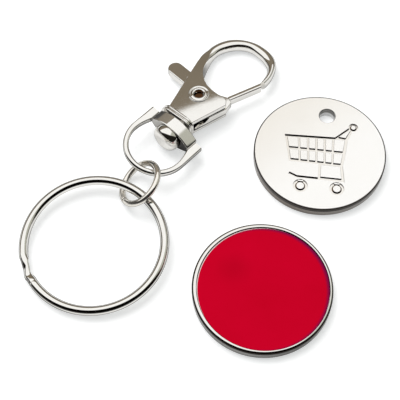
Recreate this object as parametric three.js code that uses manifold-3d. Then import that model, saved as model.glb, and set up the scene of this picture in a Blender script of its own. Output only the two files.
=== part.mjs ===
// A trolley coin keyring as it lies on a table: a swivel clasp with its yoke, a jump ring,
// a split ring and two loose trolley coins. Millimetres, +Z up, the table at Z = 0.
import * as THREE from "three";
import { mergeVertices } from "three/addons/utils/BufferGeometryUtils.js";
import Module from "manifold-3d";

const wasm = await Module();
wasm.setup();

// General
const DEGREE = Math.PI / 180;
const FULL_TURN = 2 * Math.PI;
const MERGE_GAP = 0.0005;
const FIT_CLEARANCE = 0.1;
const MOVING_CLEARANCE = 0.15;
const REACH_PAST = 2;
const BEVEL_STEPS = 2;
const DISC_SIDES = 72;
const HOLE_SIDES = 24;

// The middle of everything on the table, taken off every place below
const LAYOUT_MIDDLE = [1.15, 2.28];

// Clasp: its place on the table, its long axis and the swivel's line beside the gate pin
const CLASP_PLACE = [-0.16, 19.23];
const CLASP_HEIGHT = 2.58;
const CLASP_TURN = 47.5 * DEGREE;
const CLASP_NOSE_DOWN = 3.5 * DEGREE;
const CLASP_ROLL = -5 * DEGREE;
const SWIVEL_SIDE = -1.5;
const YOKE_ROLL = 5.6 * DEGREE;

// Clasp body: cheeks, in the plan seen from above, X to the nose and Y to the tab's side
const CHEEK_THICKNESS = 3.3;
const CHEEK_BEVEL = 0.25;
const CHEEK_OUTLINE = [
  [-6.0, 2.0],
  [-6.0, -3.4],
  [1.3, -5.3],
  [2.1, -4.7],
  [2.4, -3.9],
  [2.25, -2.6],
  [2.3, -1.1],
  [2.6, 0.35],
  [3.3, 1.85],
  [4.2, 2.85],
  [3.6, 4.9],
];

// Hook: outer and inner edges from the cheek round the nose to the tip
const HOOK_OUTER = [
  [0.4, 4.05],
  [3.1, 4.75],
  [6.05, 5.7],
  [8.4, 6.48],
  [11.3, 6.58],
  [13.95, 5.55],
  [15.8, 3.55],
  [16.85, 0.9],
  [16.95, -1.7],
  [16.4, -3.8],
  [15.1, -5.4],
  [13.15, -6.4],
  [11.6, -6.8],
  [10.3, -6.85],
];
const HOOK_INNER = [
  [9.3, -6.0],
  [11.2, -5.8],
  [12.7, -5.35],
  [13.9, -4.45],
  [14.65, -3.25],
  [15.15, -1.7],
  [15.25, 0.9],
  [14.2, 2.9],
  [12.3, 4.35],
  [10.2, 4.95],
  [7.4, 4.5],
  [5.3, 3.65],
  [3.9, 2.5],
  [2.8, 0.9],
];
const HOOK_SEGMENTS = 30;
const HOOK_BEVEL = 0.35;
const HOOK_THICKNESS = 2.1;
const TAPER_START = 3.4;
const TAPER_END = 10;

// Slot for the lever, between the cheeks
const SLOT_HEIGHT = 1.9;
const SLOT_OUTLINE = [
  [-5.4, -7],
  [-5.4, -3.15],
  [-3.2, -3.15],
  [-3.2, 1.6],
  [-2.7, 7],
  [4.3, 7],
  [3.95, 3.3],
  [3.3, 2.2],
  [4.6, 0.6],
  [4.6, -7],
];

// Gate pin, its bosses and its bore
const BOSS_RADIUS = 1.9;
const BOSS_HEIGHT = 0.22;
const PIN_BORE_RADIUS = 0.88;
const PIN_RADIUS = PIN_BORE_RADIUS - FIT_CLEARANCE;
const PIN_SET_BACK = 0.75;

// Rear lip of the clasp body: two ridges with a groove between
const LIP_WIDTH = 6.3;
const LIP_HEIGHT = 4.5;
const LIP_CORNER = 1.7;
const LIP_CORNER_STEPS = 4;
const LIP_RIDGE = 0.42;
const LIP_GROOVE = 0.22;
const LIP_GROOVE_DEPTH = 0.25;
const LIP_REAR = -6.65;
const LIP_SIDE_SHIFT = 0.8;

// Lever: hub, thumb tab and gate
const LEVER_THICKNESS = SLOT_HEIGHT - 2 * MOVING_CLEARANCE - FIT_CLEARANCE;
const HUB_RADIUS = 2.35;
const TAB_MIDDLE = 1.75;
const TAB_WIDTH = 2.85;
const TAB_REACH = 9.6;
const TAB_LEAN = -4.5 * DEGREE;
const TAB_BEVEL = 0.15;
const TAB_NECK_SET_BACK = 0.6;
const TAB_NECK_REACH = 2.3;
const HEEL_OUTLINE = [
  [-2.3, -0.5],
  [-2.3, -3.35],
  [-3.6, -3.35],
  [-3.6, -3.65],
  [1.3, -4.95],
  [3.1, -5.0],
  [3.5, -3.9],
  [2.3, -0.5],
];
const GATE_RADIUS = 11.35;
const GATE_THICKNESS = 1.6;
const GATE_BEVEL = 0.25;
const GATE_OUTLINE = [
  [3.5, -3.8],
  [9.73, -6.05],
  [12.5, -7.05],
  [12.2, -7.9],
  [9.45, -6.9],
  [3.2, -4.65],
];
const TIP_GAP = 0.25;
const TIP_SIDE_FROM = -60 * DEGREE;
const TIP_SIDE_TO = -26 * DEGREE;

// Spring leaf behind the lever
const LEAF_THICKNESS = 0.3;
const LEAF_HEIGHT = 1.5;
const LEAF_PLACE = -2.8;
const LEAF_FROM = 1.2;
const LEAF_TO = -3.0;
const LEAF_BOW = 0.1;

// Swivel rivet
const RIVET_SHANK_RADIUS = 1.3;
const RIVET_HEAD_RADIUS = 2.8;
const RIVET_HEAD_HEIGHT = 2.5;
const RIVET_HEAD_EDGE = 0.35;
const RIVET_INSIDE = -4.5;
const RIVET_BORE_LENGTH = 4;
const RIVET_END_CLEARANCE = 0.3;
const HEAD_SIDES = 36;
const DOME_STEPS = 8;

// Yoke: a D-shaped frame with an arched collar
const YOKE_FRONT = -7.5;
const YOKE_HALF_WIDTH = 6.0;
const YOKE_REAR = -18.55;
const YOKE_BOW_CENTER = YOKE_REAR + YOKE_HALF_WIDTH;
const YOKE_THICKNESS = 1.3;
const YOKE_BEVEL = 0.3;
const BOW_WIDTH = 1.05;
const LEG_END_WIDTH = 1.75;
const COLLAR_FRONT = -6.95;
const COLLAR_LENGTH = 2.5;
const COLLAR_REAR = COLLAR_FRONT - COLLAR_LENGTH;
const COLLAR_HALF_CHORD = 4.35;
const COLLAR_HALF_HEIGHT = 2.3;
const COLLAR_EDGE_HALF_HEIGHT = 0.62;
const COLLAR_STEPS = 12;
const COLLAR_BEVEL = 0.15;
const BOW_STEPS = 28;

// Jump ring
const JUMP_CENTER = [-10.34, 1.61, 3.04];
const JUMP_WIRE = 1.15;
const JUMP_OUTER = 9.06;
const JUMP_TILT = 38.6 * DEGREE;
const JUMP_RISE_TOWARDS = -9 * DEGREE;
const JUMP_SEAM_ANGLE = 215 * DEGREE;
const JUMP_SEAM_GAP = 0.16;
const JUMP_STEPS = 44;
const JUMP_SIDES = 10;

// Split ring
const SPLIT_CENTER = [-17.75, -9.35, 1.79];
const SPLIT_OUTER = 25.3;
const SPLIT_WIRE_WIDTH = 1.45;
const SPLIT_WIRE_HEIGHT = 0.98;
const SPLIT_WIRE_CORNER = 0.32;
const SPLIT_LAYER_GAP = 0.1;
const SPLIT_TILT = 3.4 * DEGREE;
const SPLIT_RISE_TOWARDS = 56 * DEGREE;
const SPLIT_STEP_FROM = 190 * DEGREE;
const SPLIT_STEP_TO = 213 * DEGREE;
const SPLIT_END_GAP = 0.45;
const SPLIT_STEPS = 150;

// Coins
const COIN_RADIUS = 11.625;
const COIN_THICKNESS = 2.1;
const COIN_CHAMFER = 0.12;
const CART_COIN_PLACE = [21.08, 8.57];
const COIN_HOLE_RADIUS = 1.45;
const COIN_HOLE_PLACE = [1.75, 7.62];
const RIM_COIN_PLACE = [10.24, -17.2];
const RIM_WIDTH = 0.85;
const RIM_ROUND_STEPS = 6;
const RECESS_DEPTH = 0.6;
const INLAY_THICKNESS = 0.35;
const INLAY_LIFT = 0.05;

// Engraved cart, on its own level line
const CART_PLACE = [0.05, -0.52];
const CART_TURN = -6 * DEGREE;
const GROOVE_WIDTH = 0.45;
const GROOVE_DEPTH = 0.2;
const WHEEL_OUTER = 1.25;
const WHEEL_INNER = 0.65;
const GRIP_OUTER = 0.8;
const GRIP_INNER = 0.35;
const WHEEL_SIDES = 20;
const CART_FRAME = [
  [-5.34, -4.5],
  [-3.97, -5.12],
  [4.44, -5.28],
  [4.03, -2.0],
  [4.43, 0.48],
  [4.68, 3.2],
  [5.5, 5.45],
  [4.9, 6.02],
  [2.45, 3.72],
  [-6.46, 3.52],
  [-5.4, -1.92],
  [-0.22, -2.08],
  [-0.22, -4.75],
  [-3.83, -4.68],
  [-5.16, -4.1],
];
const CART_BRACE_GAP = [
  [3.03, 3.66],
  [4.31, 3.5],
  [5.15, 5.5],
  [5.0, 5.63],
];
const CART_UNDER_GAP = [
  [0.22, -2.14],
  [0.22, -4.8],
  [3.92, -4.86],
  [3.58, -2.23],
];
// Basket wires: where each upright crosses the top and the bottom rail
const CART_UPRIGHTS = [
  [-6.2, -5.2],
  [-3.95, -3.5],
  [-2.35, -2.0],
  [-0.85, -0.6],
  [0.65, 0.85],
  [2.15, 2.2],
  [4.4, 3.8],
];
// Basket rails: height on the middle line, and rise as a share of the way along
const CART_RAILS = [3.41, 0.6, -1.87];
const RAIL_RISE_SHARES = [0.022, -0.02, -0.033];
const LOWER_WIRE_SHARE = 0.9;
const CART_WHEELS = [
  [-3.15, -6.7],
  [3.15, -6.7],
];
const CART_GRIP = [5.6, 6.1];

// Materials
const nickel = () => new THREE.MeshStandardMaterial({ color: 0xd6d3cd, roughness: 0.12, metalness: 1 });
const satinNickel = () => new THREE.MeshStandardMaterial({ color: 0xe2ddd6, roughness: 0.3, metalness: 1 });
const pinSteel = () => new THREE.MeshStandardMaterial({ color: 0x6b4a33, roughness: 0.5, metalness: 0.8 });
const springSteel = () => new THREE.MeshStandardMaterial({ color: 0x8c8c8c, roughness: 0.4, metalness: 1 });
const redEnamel = () => new THREE.MeshStandardMaterial({ color: 0xc80021, roughness: 0.25, metalness: 0 });

// Solids
function toSolid(geometry) {
  const bare = geometry.clone();
  bare.deleteAttribute("normal");
  bare.deleteAttribute("uv");
  const merged = mergeVertices(bare, MERGE_GAP);
  return new wasm.Manifold(
    new wasm.Mesh({
      numProp: 3,
      vertProperties: merged.attributes.position.array,
      triVerts: new Uint32Array(merged.index.array),
    }),
  );
}

function toMesh(name, solid, material) {
  const found = solid.getMesh();
  const geometry = new THREE.BufferGeometry();
  geometry.setAttribute("position", new THREE.BufferAttribute(found.vertProperties, 3));
  geometry.setIndex(new THREE.BufferAttribute(found.triVerts, 1));
  geometry.computeVertexNormals();
  const mesh = new THREE.Mesh(geometry, material);
  mesh.name = name;
  return mesh;
}

function shapeOf(points) {
  return new THREE.Shape(points.map(([x, y]) => new THREE.Vector2(x, y)));
}

function ringPoints(radius, sides, center = [0, 0]) {
  const points = [];
  for (let i = 0; i < sides; i += 1) {
    const angle = (FULL_TURN * i) / sides;
    points.push([center[0] + radius * Math.cos(angle), center[1] + radius * Math.sin(angle)]);
  }
  return points;
}

// A prism of a plan shape, level with the middle plane, its edges bevelled when a bevel is given
function plate(shape, thickness, bevel = 0) {
  const geometry = new THREE.ExtrudeGeometry(shape, {
    depth: thickness - 2 * bevel,
    bevelEnabled: bevel > 0,
    bevelThickness: bevel,
    bevelSize: bevel,
    bevelOffset: -bevel,
    bevelSegments: BEVEL_STEPS,
    steps: 1,
  });
  geometry.translate(0, 0, bevel - thickness / 2);
  return geometry;
}

// A round bar standing on the plan, centred on the middle plane
function upright(radius, height, center = [0, 0], sides = HOLE_SIDES) {
  return plate(shapeOf(ringPoints(radius, sides, center)), height);
}

// Turns a shape drawn across the clasp (X to the side, Y up) so that it faces along the clasp
function faceAlong(geometry, from) {
  geometry.rotateX(FULL_TURN / 4);
  geometry.rotateZ(FULL_TURN / 4);
  geometry.translate(from, 0, 0);
  return geometry;
}

// Clasp body
function hookSolid() {
  const outer = new THREE.SplineCurve(HOOK_OUTER.map(([x, y]) => new THREE.Vector2(x, y)));
  const inner = new THREE.SplineCurve(HOOK_INNER.map(([x, y]) => new THREE.Vector2(x, y)));
  const outline = [...outer.getSpacedPoints(HOOK_SEGMENTS), ...inner.getSpacedPoints(HOOK_SEGMENTS)];
  const geometry = plate(new THREE.Shape(outline), CHEEK_THICKNESS, HOOK_BEVEL);
  const place = geometry.attributes.position;
  const endShare = HOOK_THICKNESS / CHEEK_THICKNESS;
  for (let i = 0; i < place.count; i += 1) {
    const run = (place.getX(i) - TAPER_START) / (TAPER_END - TAPER_START);
    const share = THREE.MathUtils.lerp(1, endShare, THREE.MathUtils.clamp(run, 0, 1));
    place.setZ(i, place.getZ(i) * share);
  }
  return toSolid(geometry);
}

// The part of the circle round the pin that the end of the gate sweeps
function gateSweep(radius) {
  const points = [[0, 0]];
  for (let i = 0; i <= HOLE_SIDES; i += 1) {
    const angle = THREE.MathUtils.lerp(TIP_SIDE_FROM, TIP_SIDE_TO, i / HOLE_SIDES);
    points.push([radius * Math.cos(angle), radius * Math.sin(angle)]);
  }
  return toSolid(plate(shapeOf(points), CHEEK_THICKNESS));
}

function roundedBox(width, height, corner) {
  const x = width / 2;
  const y = height / 2;
  const shape = new THREE.Shape();
  shape.moveTo(corner - x, -y);
  shape.lineTo(x - corner, -y);
  shape.absarc(x - corner, corner - y, corner, -FULL_TURN / 4, 0);
  shape.absarc(x - corner, y - corner, corner, 0, FULL_TURN / 4);
  shape.absarc(corner - x, y - corner, corner, FULL_TURN / 4, FULL_TURN / 2);
  shape.absarc(corner - x, corner - y, corner, FULL_TURN / 2, (FULL_TURN * 3) / 4);
  return new THREE.Shape(shape.getPoints(LIP_CORNER_STEPS));
}

function lipSolid() {
  const side = SWIVEL_SIDE + LIP_SIDE_SHIFT;
  const length = 2 * LIP_RIDGE + LIP_GROOVE;
  const inset = 2 * LIP_GROOVE_DEPTH;
  const ridge = roundedBox(LIP_WIDTH, LIP_HEIGHT, LIP_CORNER);
  const core = roundedBox(LIP_WIDTH - inset, LIP_HEIGHT - inset, LIP_CORNER - LIP_GROOVE_DEPTH);
  const rear = faceAlong(plate(ridge, LIP_RIDGE), LIP_REAR + LIP_RIDGE / 2);
  const front = faceAlong(plate(ridge, LIP_RIDGE), LIP_REAR + length - LIP_RIDGE / 2);
  const middle = faceAlong(plate(core, length - LIP_RIDGE), LIP_REAR + length / 2);
  for (const geometry of [rear, front, middle]) geometry.translate(0, side, 0);
  return toSolid(rear).add(toSolid(front)).add(toSolid(middle));
}

function claspBody() {
  const cheeks = toSolid(plate(shapeOf(CHEEK_OUTLINE), CHEEK_THICKNESS, CHEEK_BEVEL));
  const boss = toSolid(upright(BOSS_RADIUS, CHEEK_THICKNESS + 2 * BOSS_HEIGHT));
  const slot = toSolid(plate(shapeOf(SLOT_OUTLINE), SLOT_HEIGHT));
  const bore = toSolid(upright(PIN_BORE_RADIUS, CHEEK_THICKNESS + 2 * REACH_PAST));
  const rivetBore = upright(RIVET_SHANK_RADIUS + FIT_CLEARANCE, RIVET_BORE_LENGTH);
  faceAlong(rivetBore, RIVET_INSIDE + RIVET_END_CLEARANCE - RIVET_BORE_LENGTH / 2);
  rivetBore.translate(0, SWIVEL_SIDE, 0);
  const solid = cheeks
    .add(hookSolid().subtract(gateSweep(GATE_RADIUS + TIP_GAP)))
    .add(boss)
    .add(lipSolid())
    .subtract(slot)
    .subtract(bore)
    .subtract(toSolid(rivetBore));
  return toMesh("clasp_body", solid, nickel());
}

// Lever
function gateLever() {
  const hub = toSolid(upright(HUB_RADIUS, LEVER_THICKNESS));
  const heel = toSolid(plate(shapeOf(HEEL_OUTLINE), LEVER_THICKNESS));
  const half = TAB_WIDTH / 2;
  const tabShape = new THREE.Shape();
  tabShape.moveTo(TAB_MIDDLE - half, 0);
  tabShape.lineTo(TAB_MIDDLE + half - TAB_NECK_SET_BACK, 0);
  tabShape.lineTo(TAB_MIDDLE + half - TAB_NECK_SET_BACK, TAB_NECK_REACH);
  tabShape.lineTo(TAB_MIDDLE + half, TAB_NECK_REACH + TAB_NECK_SET_BACK);
  tabShape.lineTo(TAB_MIDDLE + half, TAB_REACH - half);
  tabShape.absarc(TAB_MIDDLE, TAB_REACH - half, half, 0, FULL_TURN / 2);
  const tabPlate = plate(tabShape, LEVER_THICKNESS, TAB_BEVEL);
  tabPlate.rotateZ(TAB_LEAN);
  const tab = toSolid(tabPlate);
  const bar = toSolid(plate(shapeOf(GATE_OUTLINE), GATE_THICKNESS, GATE_BEVEL));
  const bore = toSolid(upright(PIN_BORE_RADIUS + FIT_CLEARANCE, CHEEK_THICKNESS));
  const solid = hub
    .add(heel)
    .add(tab)
    .add(bar.intersect(gateSweep(GATE_RADIUS)))
    .subtract(bore);
  return toMesh("gate_lever", solid, nickel());
}

function gatePin() {
  const length = CHEEK_THICKNESS + 2 * BOSS_HEIGHT - 2 * PIN_SET_BACK;
  return toMesh("gate_pin", toSolid(upright(PIN_RADIUS, length)), pinSteel());
}

function gateSpring() {
  const half = LEAF_THICKNESS / 2;
  const middle = (LEAF_FROM + LEAF_TO) / 2;
  const shape = new THREE.Shape();
  shape.moveTo(LEAF_PLACE + half, LEAF_FROM);
  shape.lineTo(LEAF_PLACE - half, LEAF_FROM);
  shape.quadraticCurveTo(LEAF_PLACE - half - LEAF_BOW, middle, LEAF_PLACE - half, LEAF_TO);
  shape.lineTo(LEAF_PLACE + half, LEAF_TO);
  shape.quadraticCurveTo(LEAF_PLACE + half - LEAF_BOW, middle, LEAF_PLACE + half, LEAF_FROM);
  return toMesh("gate_spring", toSolid(plate(shape, LEAF_HEIGHT)), springSteel());
}

// Swivel
function swivelRivet() {
  const back = COLLAR_REAR - MOVING_CLEARANCE;
  const points = [
    [0, RIVET_INSIDE],
    [RIVET_SHANK_RADIUS, RIVET_INSIDE],
    [RIVET_SHANK_RADIUS, back],
    [RIVET_HEAD_RADIUS - RIVET_HEAD_EDGE / 2, back],
    [RIVET_HEAD_RADIUS, back - RIVET_HEAD_EDGE / 2],
  ];
  for (let i = 0; i <= DOME_STEPS; i += 1) {
    const angle = (FULL_TURN / 4) * (i / DOME_STEPS);
    const radius = i < DOME_STEPS ? RIVET_HEAD_RADIUS * Math.cos(angle) : 0;
    points.push([radius, back - RIVET_HEAD_EDGE - RIVET_HEAD_HEIGHT * Math.sin(angle)]);
  }
  const profile = points.reverse().map(([x, y]) => new THREE.Vector2(x, y));
  const geometry = new THREE.LatheGeometry(profile, HEAD_SIDES);
  geometry.rotateZ(-FULL_TURN / 4);
  return toMesh("swivel_rivet", toSolid(geometry), nickel());
}

function yokeFrame() {
  const outer = new THREE.Shape();
  outer.moveTo(YOKE_FRONT, YOKE_HALF_WIDTH);
  outer.lineTo(YOKE_BOW_CENTER, YOKE_HALF_WIDTH);
  outer.absarc(YOKE_BOW_CENTER, 0, YOKE_HALF_WIDTH, FULL_TURN / 4, (FULL_TURN * 3) / 4);
  outer.lineTo(YOKE_FRONT, -YOKE_HALF_WIDTH);
  const inner = new THREE.Path();
  inner.moveTo(COLLAR_REAR, YOKE_HALF_WIDTH - LEG_END_WIDTH);
  inner.lineTo(YOKE_BOW_CENTER, YOKE_HALF_WIDTH - BOW_WIDTH);
  inner.absarc(YOKE_BOW_CENTER, 0, YOKE_HALF_WIDTH - BOW_WIDTH, FULL_TURN / 4, (FULL_TURN * 3) / 4);
  inner.lineTo(COLLAR_REAR, LEG_END_WIDTH - YOKE_HALF_WIDTH);
  const shape = new THREE.Shape(outer.getPoints(BOW_STEPS));
  shape.holes.push(new THREE.Path(inner.getPoints(BOW_STEPS)));
  return toSolid(plate(shape, YOKE_THICKNESS, YOKE_BEVEL));
}

function collarSolid() {
  const points = [];
  const rise = COLLAR_HALF_HEIGHT - COLLAR_EDGE_HALF_HEIGHT;
  for (const side of [1, -1]) {
    for (let i = 0; i <= COLLAR_STEPS; i += 1) {
      const share = 1 - (2 * i) / COLLAR_STEPS;
      const height = COLLAR_EDGE_HALF_HEIGHT + rise * (1 - share * share);
      points.push([side * share * COLLAR_HALF_CHORD, side * height]);
    }
  }
  const middle = COLLAR_FRONT - COLLAR_LENGTH / 2;
  return toSolid(faceAlong(plate(shapeOf(points), COLLAR_LENGTH, COLLAR_BEVEL), middle));
}

function swivelYoke() {
  const bore = upright(RIVET_SHANK_RADIUS + MOVING_CLEARANCE, COLLAR_LENGTH + 2 * REACH_PAST);
  faceAlong(bore, COLLAR_FRONT - COLLAR_LENGTH / 2);
  const solid = yokeFrame().add(collarSolid()).subtract(toSolid(bore));
  return toMesh("swivel_yoke", solid, nickel());
}

// A part of a circle in the plan, from one angle to another, that can step down along the way
class RingPath extends THREE.Curve {
  constructor(radius, from, to, heightAt = () => 0) {
    super();
    this.radius = radius;
    this.from = from;
    this.to = to;
    this.heightAt = heightAt;
  }

  getPoint(t) {
    const angle = THREE.MathUtils.lerp(this.from, this.to, t);
    const x = this.radius * Math.cos(angle);
    const y = this.radius * Math.sin(angle);
    return new THREE.Vector3(x, y, this.heightAt(angle));
  }
}

function sweep(points, path, steps) {
  return new THREE.ExtrudeGeometry(shapeOf(points), { steps, extrudePath: path, bevelEnabled: false });
}

// Tilts a flat ring so that it rises towards an angle in the plan
function tiltUp(mesh, towards, tilt) {
  const hinge = new THREE.Vector3(-Math.sin(towards), Math.cos(towards), 0);
  mesh.quaternion.setFromAxisAngle(hinge, -tilt);
}

function jumpRing() {
  const radius = (JUMP_OUTER - JUMP_WIRE) / 2;
  const halfGap = JUMP_SEAM_GAP / 2 / radius;
  const path = new RingPath(radius, JUMP_SEAM_ANGLE + halfGap, JUMP_SEAM_ANGLE + FULL_TURN - halfGap);
  const section = ringPoints(JUMP_WIRE / 2, JUMP_SIDES);
  const mesh = toMesh("jump_ring", toSolid(sweep(section, path, JUMP_STEPS)), nickel());
  tiltUp(mesh, JUMP_RISE_TOWARDS, JUMP_TILT);
  mesh.position.set(...JUMP_CENTER);
  return mesh;
}

function splitRing() {
  const radius = (SPLIT_OUTER - SPLIT_WIRE_WIDTH) / 2;
  const drop = SPLIT_WIRE_HEIGHT + SPLIT_LAYER_GAP;
  const endTurn = SPLIT_END_GAP / radius;
  const stepFrom = SPLIT_STEP_FROM + FULL_TURN;
  const stepTo = SPLIT_STEP_TO + FULL_TURN;
  const heightAt = (angle) => drop / 2 - drop * THREE.MathUtils.smoothstep(angle, stepFrom, stepTo);
  const from = SPLIT_STEP_TO + endTurn;
  const to = SPLIT_STEP_FROM + 2 * FULL_TURN - endTurn;
  const path = new RingPath(radius, from, to, heightAt);
  const x = SPLIT_WIRE_HEIGHT / 2;
  const y = SPLIT_WIRE_WIDTH / 2;
  const corner = SPLIT_WIRE_CORNER;
  const section = [
    [-x, corner - y],
    [corner - x, -y],
    [x - corner, -y],
    [x, corner - y],
    [x, y - corner],
    [x - corner, y],
    [corner - x, y],
    [-x, y - corner],
  ];
  const mesh = toMesh("split_ring", toSolid(sweep(section, path, SPLIT_STEPS)), nickel());
  tiltUp(mesh, SPLIT_RISE_TOWARDS, SPLIT_TILT);
  mesh.position.set(...SPLIT_CENTER);
  return mesh;
}

// Coins
function standingLathe(points) {
  const profile = points.map(([x, y]) => new THREE.Vector2(x, y));
  const geometry = new THREE.LatheGeometry(profile, DISC_SIDES);
  geometry.rotateX(FULL_TURN / 4);
  return toSolid(geometry);
}

function grooveRing(outer, inner, center) {
  const shape = shapeOf(ringPoints(outer, WHEEL_SIDES, center));
  shape.holes.push(shapeOf(ringPoints(inner, WHEEL_SIDES, center)));
  return toSolid(plate(shape, 2 * GROOVE_DEPTH));
}

// The face left between two neighbouring uprights and two neighbouring rails
function basketCell(column, row) {
  const half = (GROOVE_WIDTH / 2) * (row > 0 ? LOWER_WIRE_SHARE : 1);
  const [leftTop, leftBottom] = CART_UPRIGHTS[column];
  const [rightTop, rightBottom] = CART_UPRIGHTS[column + 1];
  const middle = (leftTop + leftBottom + rightTop + rightBottom) / 4;
  const railAt = (rail) => CART_RAILS[rail] + RAIL_RISE_SHARES[rail] * middle;
  const top = railAt(row) - half;
  const bottom = railAt(row + 1) + half;
  const shareAt = (y) => THREE.MathUtils.inverseLerp(CART_RAILS[0], CART_RAILS[2], y);
  const leftAt = (y) => THREE.MathUtils.lerp(leftTop, leftBottom, shareAt(y)) + half;
  const rightAt = (y) => THREE.MathUtils.lerp(rightTop, rightBottom, shareAt(y)) - half;
  return [
    [leftAt(top), top],
    [leftAt(bottom), bottom],
    [rightAt(bottom), bottom],
    [rightAt(top), top],
  ];
}

function cartGrooves() {
  const frame = shapeOf(CART_FRAME);
  frame.holes.push(shapeOf(CART_BRACE_GAP), shapeOf(CART_UNDER_GAP));
  for (let column = 0; column < CART_UPRIGHTS.length - 1; column += 1) {
    for (const row of [0, 1]) frame.holes.push(shapeOf(basketCell(column, row)));
  }
  let solid = toSolid(plate(frame, 2 * GROOVE_DEPTH));
  solid = solid.add(grooveRing(GRIP_OUTER, GRIP_INNER, CART_GRIP));
  for (const wheel of CART_WHEELS) solid = solid.add(grooveRing(WHEEL_OUTER, WHEEL_INNER, wheel));
  return solid.rotate([0, 0, CART_TURN / DEGREE]).translate([...CART_PLACE, COIN_THICKNESS]);
}

function cartToken() {
  const top = COIN_THICKNESS;
  const disc = standingLathe([
    [0, 0],
    [COIN_RADIUS - COIN_CHAMFER, 0],
    [COIN_RADIUS, COIN_CHAMFER],
    [COIN_RADIUS, top - COIN_CHAMFER],
    [COIN_RADIUS - COIN_CHAMFER, top],
    [0, top],
  ]);
  const hole = toSolid(upright(COIN_HOLE_RADIUS, 2 * REACH_PAST + top, COIN_HOLE_PLACE));
  const mesh = toMesh("cart_token", disc.subtract(hole).subtract(cartGrooves()), satinNickel());
  mesh.position.set(...CART_COIN_PLACE, 0);
  return mesh;
}

function rimTokenBody() {
  const rim = RIM_WIDTH / 2;
  const middle = COIN_RADIUS - rim;
  const points = [
    [0, 0],
    [COIN_RADIUS - COIN_CHAMFER, 0],
    [COIN_RADIUS, COIN_CHAMFER],
  ];
  for (let i = 0; i <= RIM_ROUND_STEPS; i += 1) {
    const angle = (FULL_TURN / 2) * (i / RIM_ROUND_STEPS);
    points.push([middle + rim * Math.cos(angle), COIN_THICKNESS - rim + rim * Math.sin(angle)]);
  }
  const floor = COIN_THICKNESS - RECESS_DEPTH;
  points.push([COIN_RADIUS - RIM_WIDTH, floor], [0, floor]);
  const mesh = toMesh("rim_token_body", standingLathe(points), nickel());
  mesh.position.set(...RIM_COIN_PLACE, 0);
  return mesh;
}

function rimTokenInlay() {
  const radius = COIN_RADIUS - RIM_WIDTH - FIT_CLEARANCE;
  const solid = toSolid(upright(radius, INLAY_THICKNESS, [0, 0], DISC_SIDES));
  const mesh = toMesh("rim_token_inlay", solid, redEnamel());
  const floor = COIN_THICKNESS - RECESS_DEPTH;
  mesh.position.set(...RIM_COIN_PLACE, floor + INLAY_LIFT + INLAY_THICKNESS / 2);
  return mesh;
}

// Puts pieces drawn along the swivel's line where the clasp lies, rolled about that line
function onClaspLine(roll, ...pieces) {
  const group = new THREE.Group();
  const [x, y] = CLASP_PLACE;
  const sideX = -Math.sin(CLASP_TURN) * SWIVEL_SIDE;
  const sideY = Math.cos(CLASP_TURN) * SWIVEL_SIDE;
  group.position.set(x + sideX, y + sideY, CLASP_HEIGHT);
  group.rotation.set(roll, CLASP_NOSE_DOWN, CLASP_TURN, "ZYX");
  group.add(...pieces);
  return group;
}

function fromPin(...pieces) {
  const group = new THREE.Group();
  group.position.y = -SWIVEL_SIDE;
  group.add(...pieces);
  return group;
}

const layout = new THREE.Group();
layout.position.set(-LAYOUT_MIDDLE[0], -LAYOUT_MIDDLE[1], 0);
layout.add(onClaspLine(CLASP_ROLL, fromPin(claspBody(), gateLever(), gatePin(), gateSpring())));
layout.add(onClaspLine(0, swivelRivet()));
layout.add(onClaspLine(YOKE_ROLL, swivelYoke()));
layout.add(jumpRing(), splitRing());
layout.add(cartToken(), rimTokenBody(), rimTokenInlay());

const keyring = new THREE.Group();
keyring.add(layout);

export default keyring;
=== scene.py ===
import math

import bmesh
import bpy
from mathutils import Matrix, Vector
from mathutils.geometry import interpolate_bezier


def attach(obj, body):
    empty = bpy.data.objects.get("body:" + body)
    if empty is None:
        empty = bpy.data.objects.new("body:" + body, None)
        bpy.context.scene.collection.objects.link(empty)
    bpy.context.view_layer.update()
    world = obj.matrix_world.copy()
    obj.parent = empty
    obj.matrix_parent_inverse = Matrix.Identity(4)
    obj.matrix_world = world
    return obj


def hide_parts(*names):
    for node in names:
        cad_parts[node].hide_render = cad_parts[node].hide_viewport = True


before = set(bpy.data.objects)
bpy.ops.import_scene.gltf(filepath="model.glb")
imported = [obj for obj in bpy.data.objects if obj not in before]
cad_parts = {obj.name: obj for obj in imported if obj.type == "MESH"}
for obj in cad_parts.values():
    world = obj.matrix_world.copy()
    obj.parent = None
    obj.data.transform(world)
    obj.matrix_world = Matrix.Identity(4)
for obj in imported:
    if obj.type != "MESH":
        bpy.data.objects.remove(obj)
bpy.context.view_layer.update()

# Camera, table and studio light
# The set lies on a white table and is seen from above and in front through a long lens.
# A broad soft box hangs overhead; past it the room is dim, so bright metal shows grey and black bands.
MM = 0.001
AIM_X = -1.15
AIM_Y = -2.28
CAMERA_DISTANCE = 0.1736
CAMERA_ELEVATION = math.radians(61.5)

camera_data = bpy.data.cameras.new("camera")
camera_data.lens = 90.0
camera_data.sensor_width = 36.0
camera_data.clip_start = 0.005
camera = bpy.data.objects.new("camera", camera_data)
bpy.context.scene.collection.objects.link(camera)
camera_side = Vector((0.0, -math.cos(CAMERA_ELEVATION), math.sin(CAMERA_ELEVATION)))
camera.location = Vector((AIM_X * MM, AIM_Y * MM, 0.0)) + CAMERA_DISTANCE * camera_side
camera.rotation_euler = (math.radians(90.0) - CAMERA_ELEVATION, 0.0, 0.0)
bpy.context.scene.camera = camera
bpy.context.scene.view_settings.view_transform = "Standard"


def ramp_stops(ramp, stops):
    """Puts colours on a colour ramp, from (place, red, green, blue) in order."""
    while len(ramp.elements) > 1:
        ramp.elements.remove(ramp.elements[-1])
    for i, (place, *colour) in enumerate(stops):
        element = ramp.elements[0] if i == 0 else ramp.elements.new(place)
        element.position = place
        element.color = (*colour, 1.0)


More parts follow.
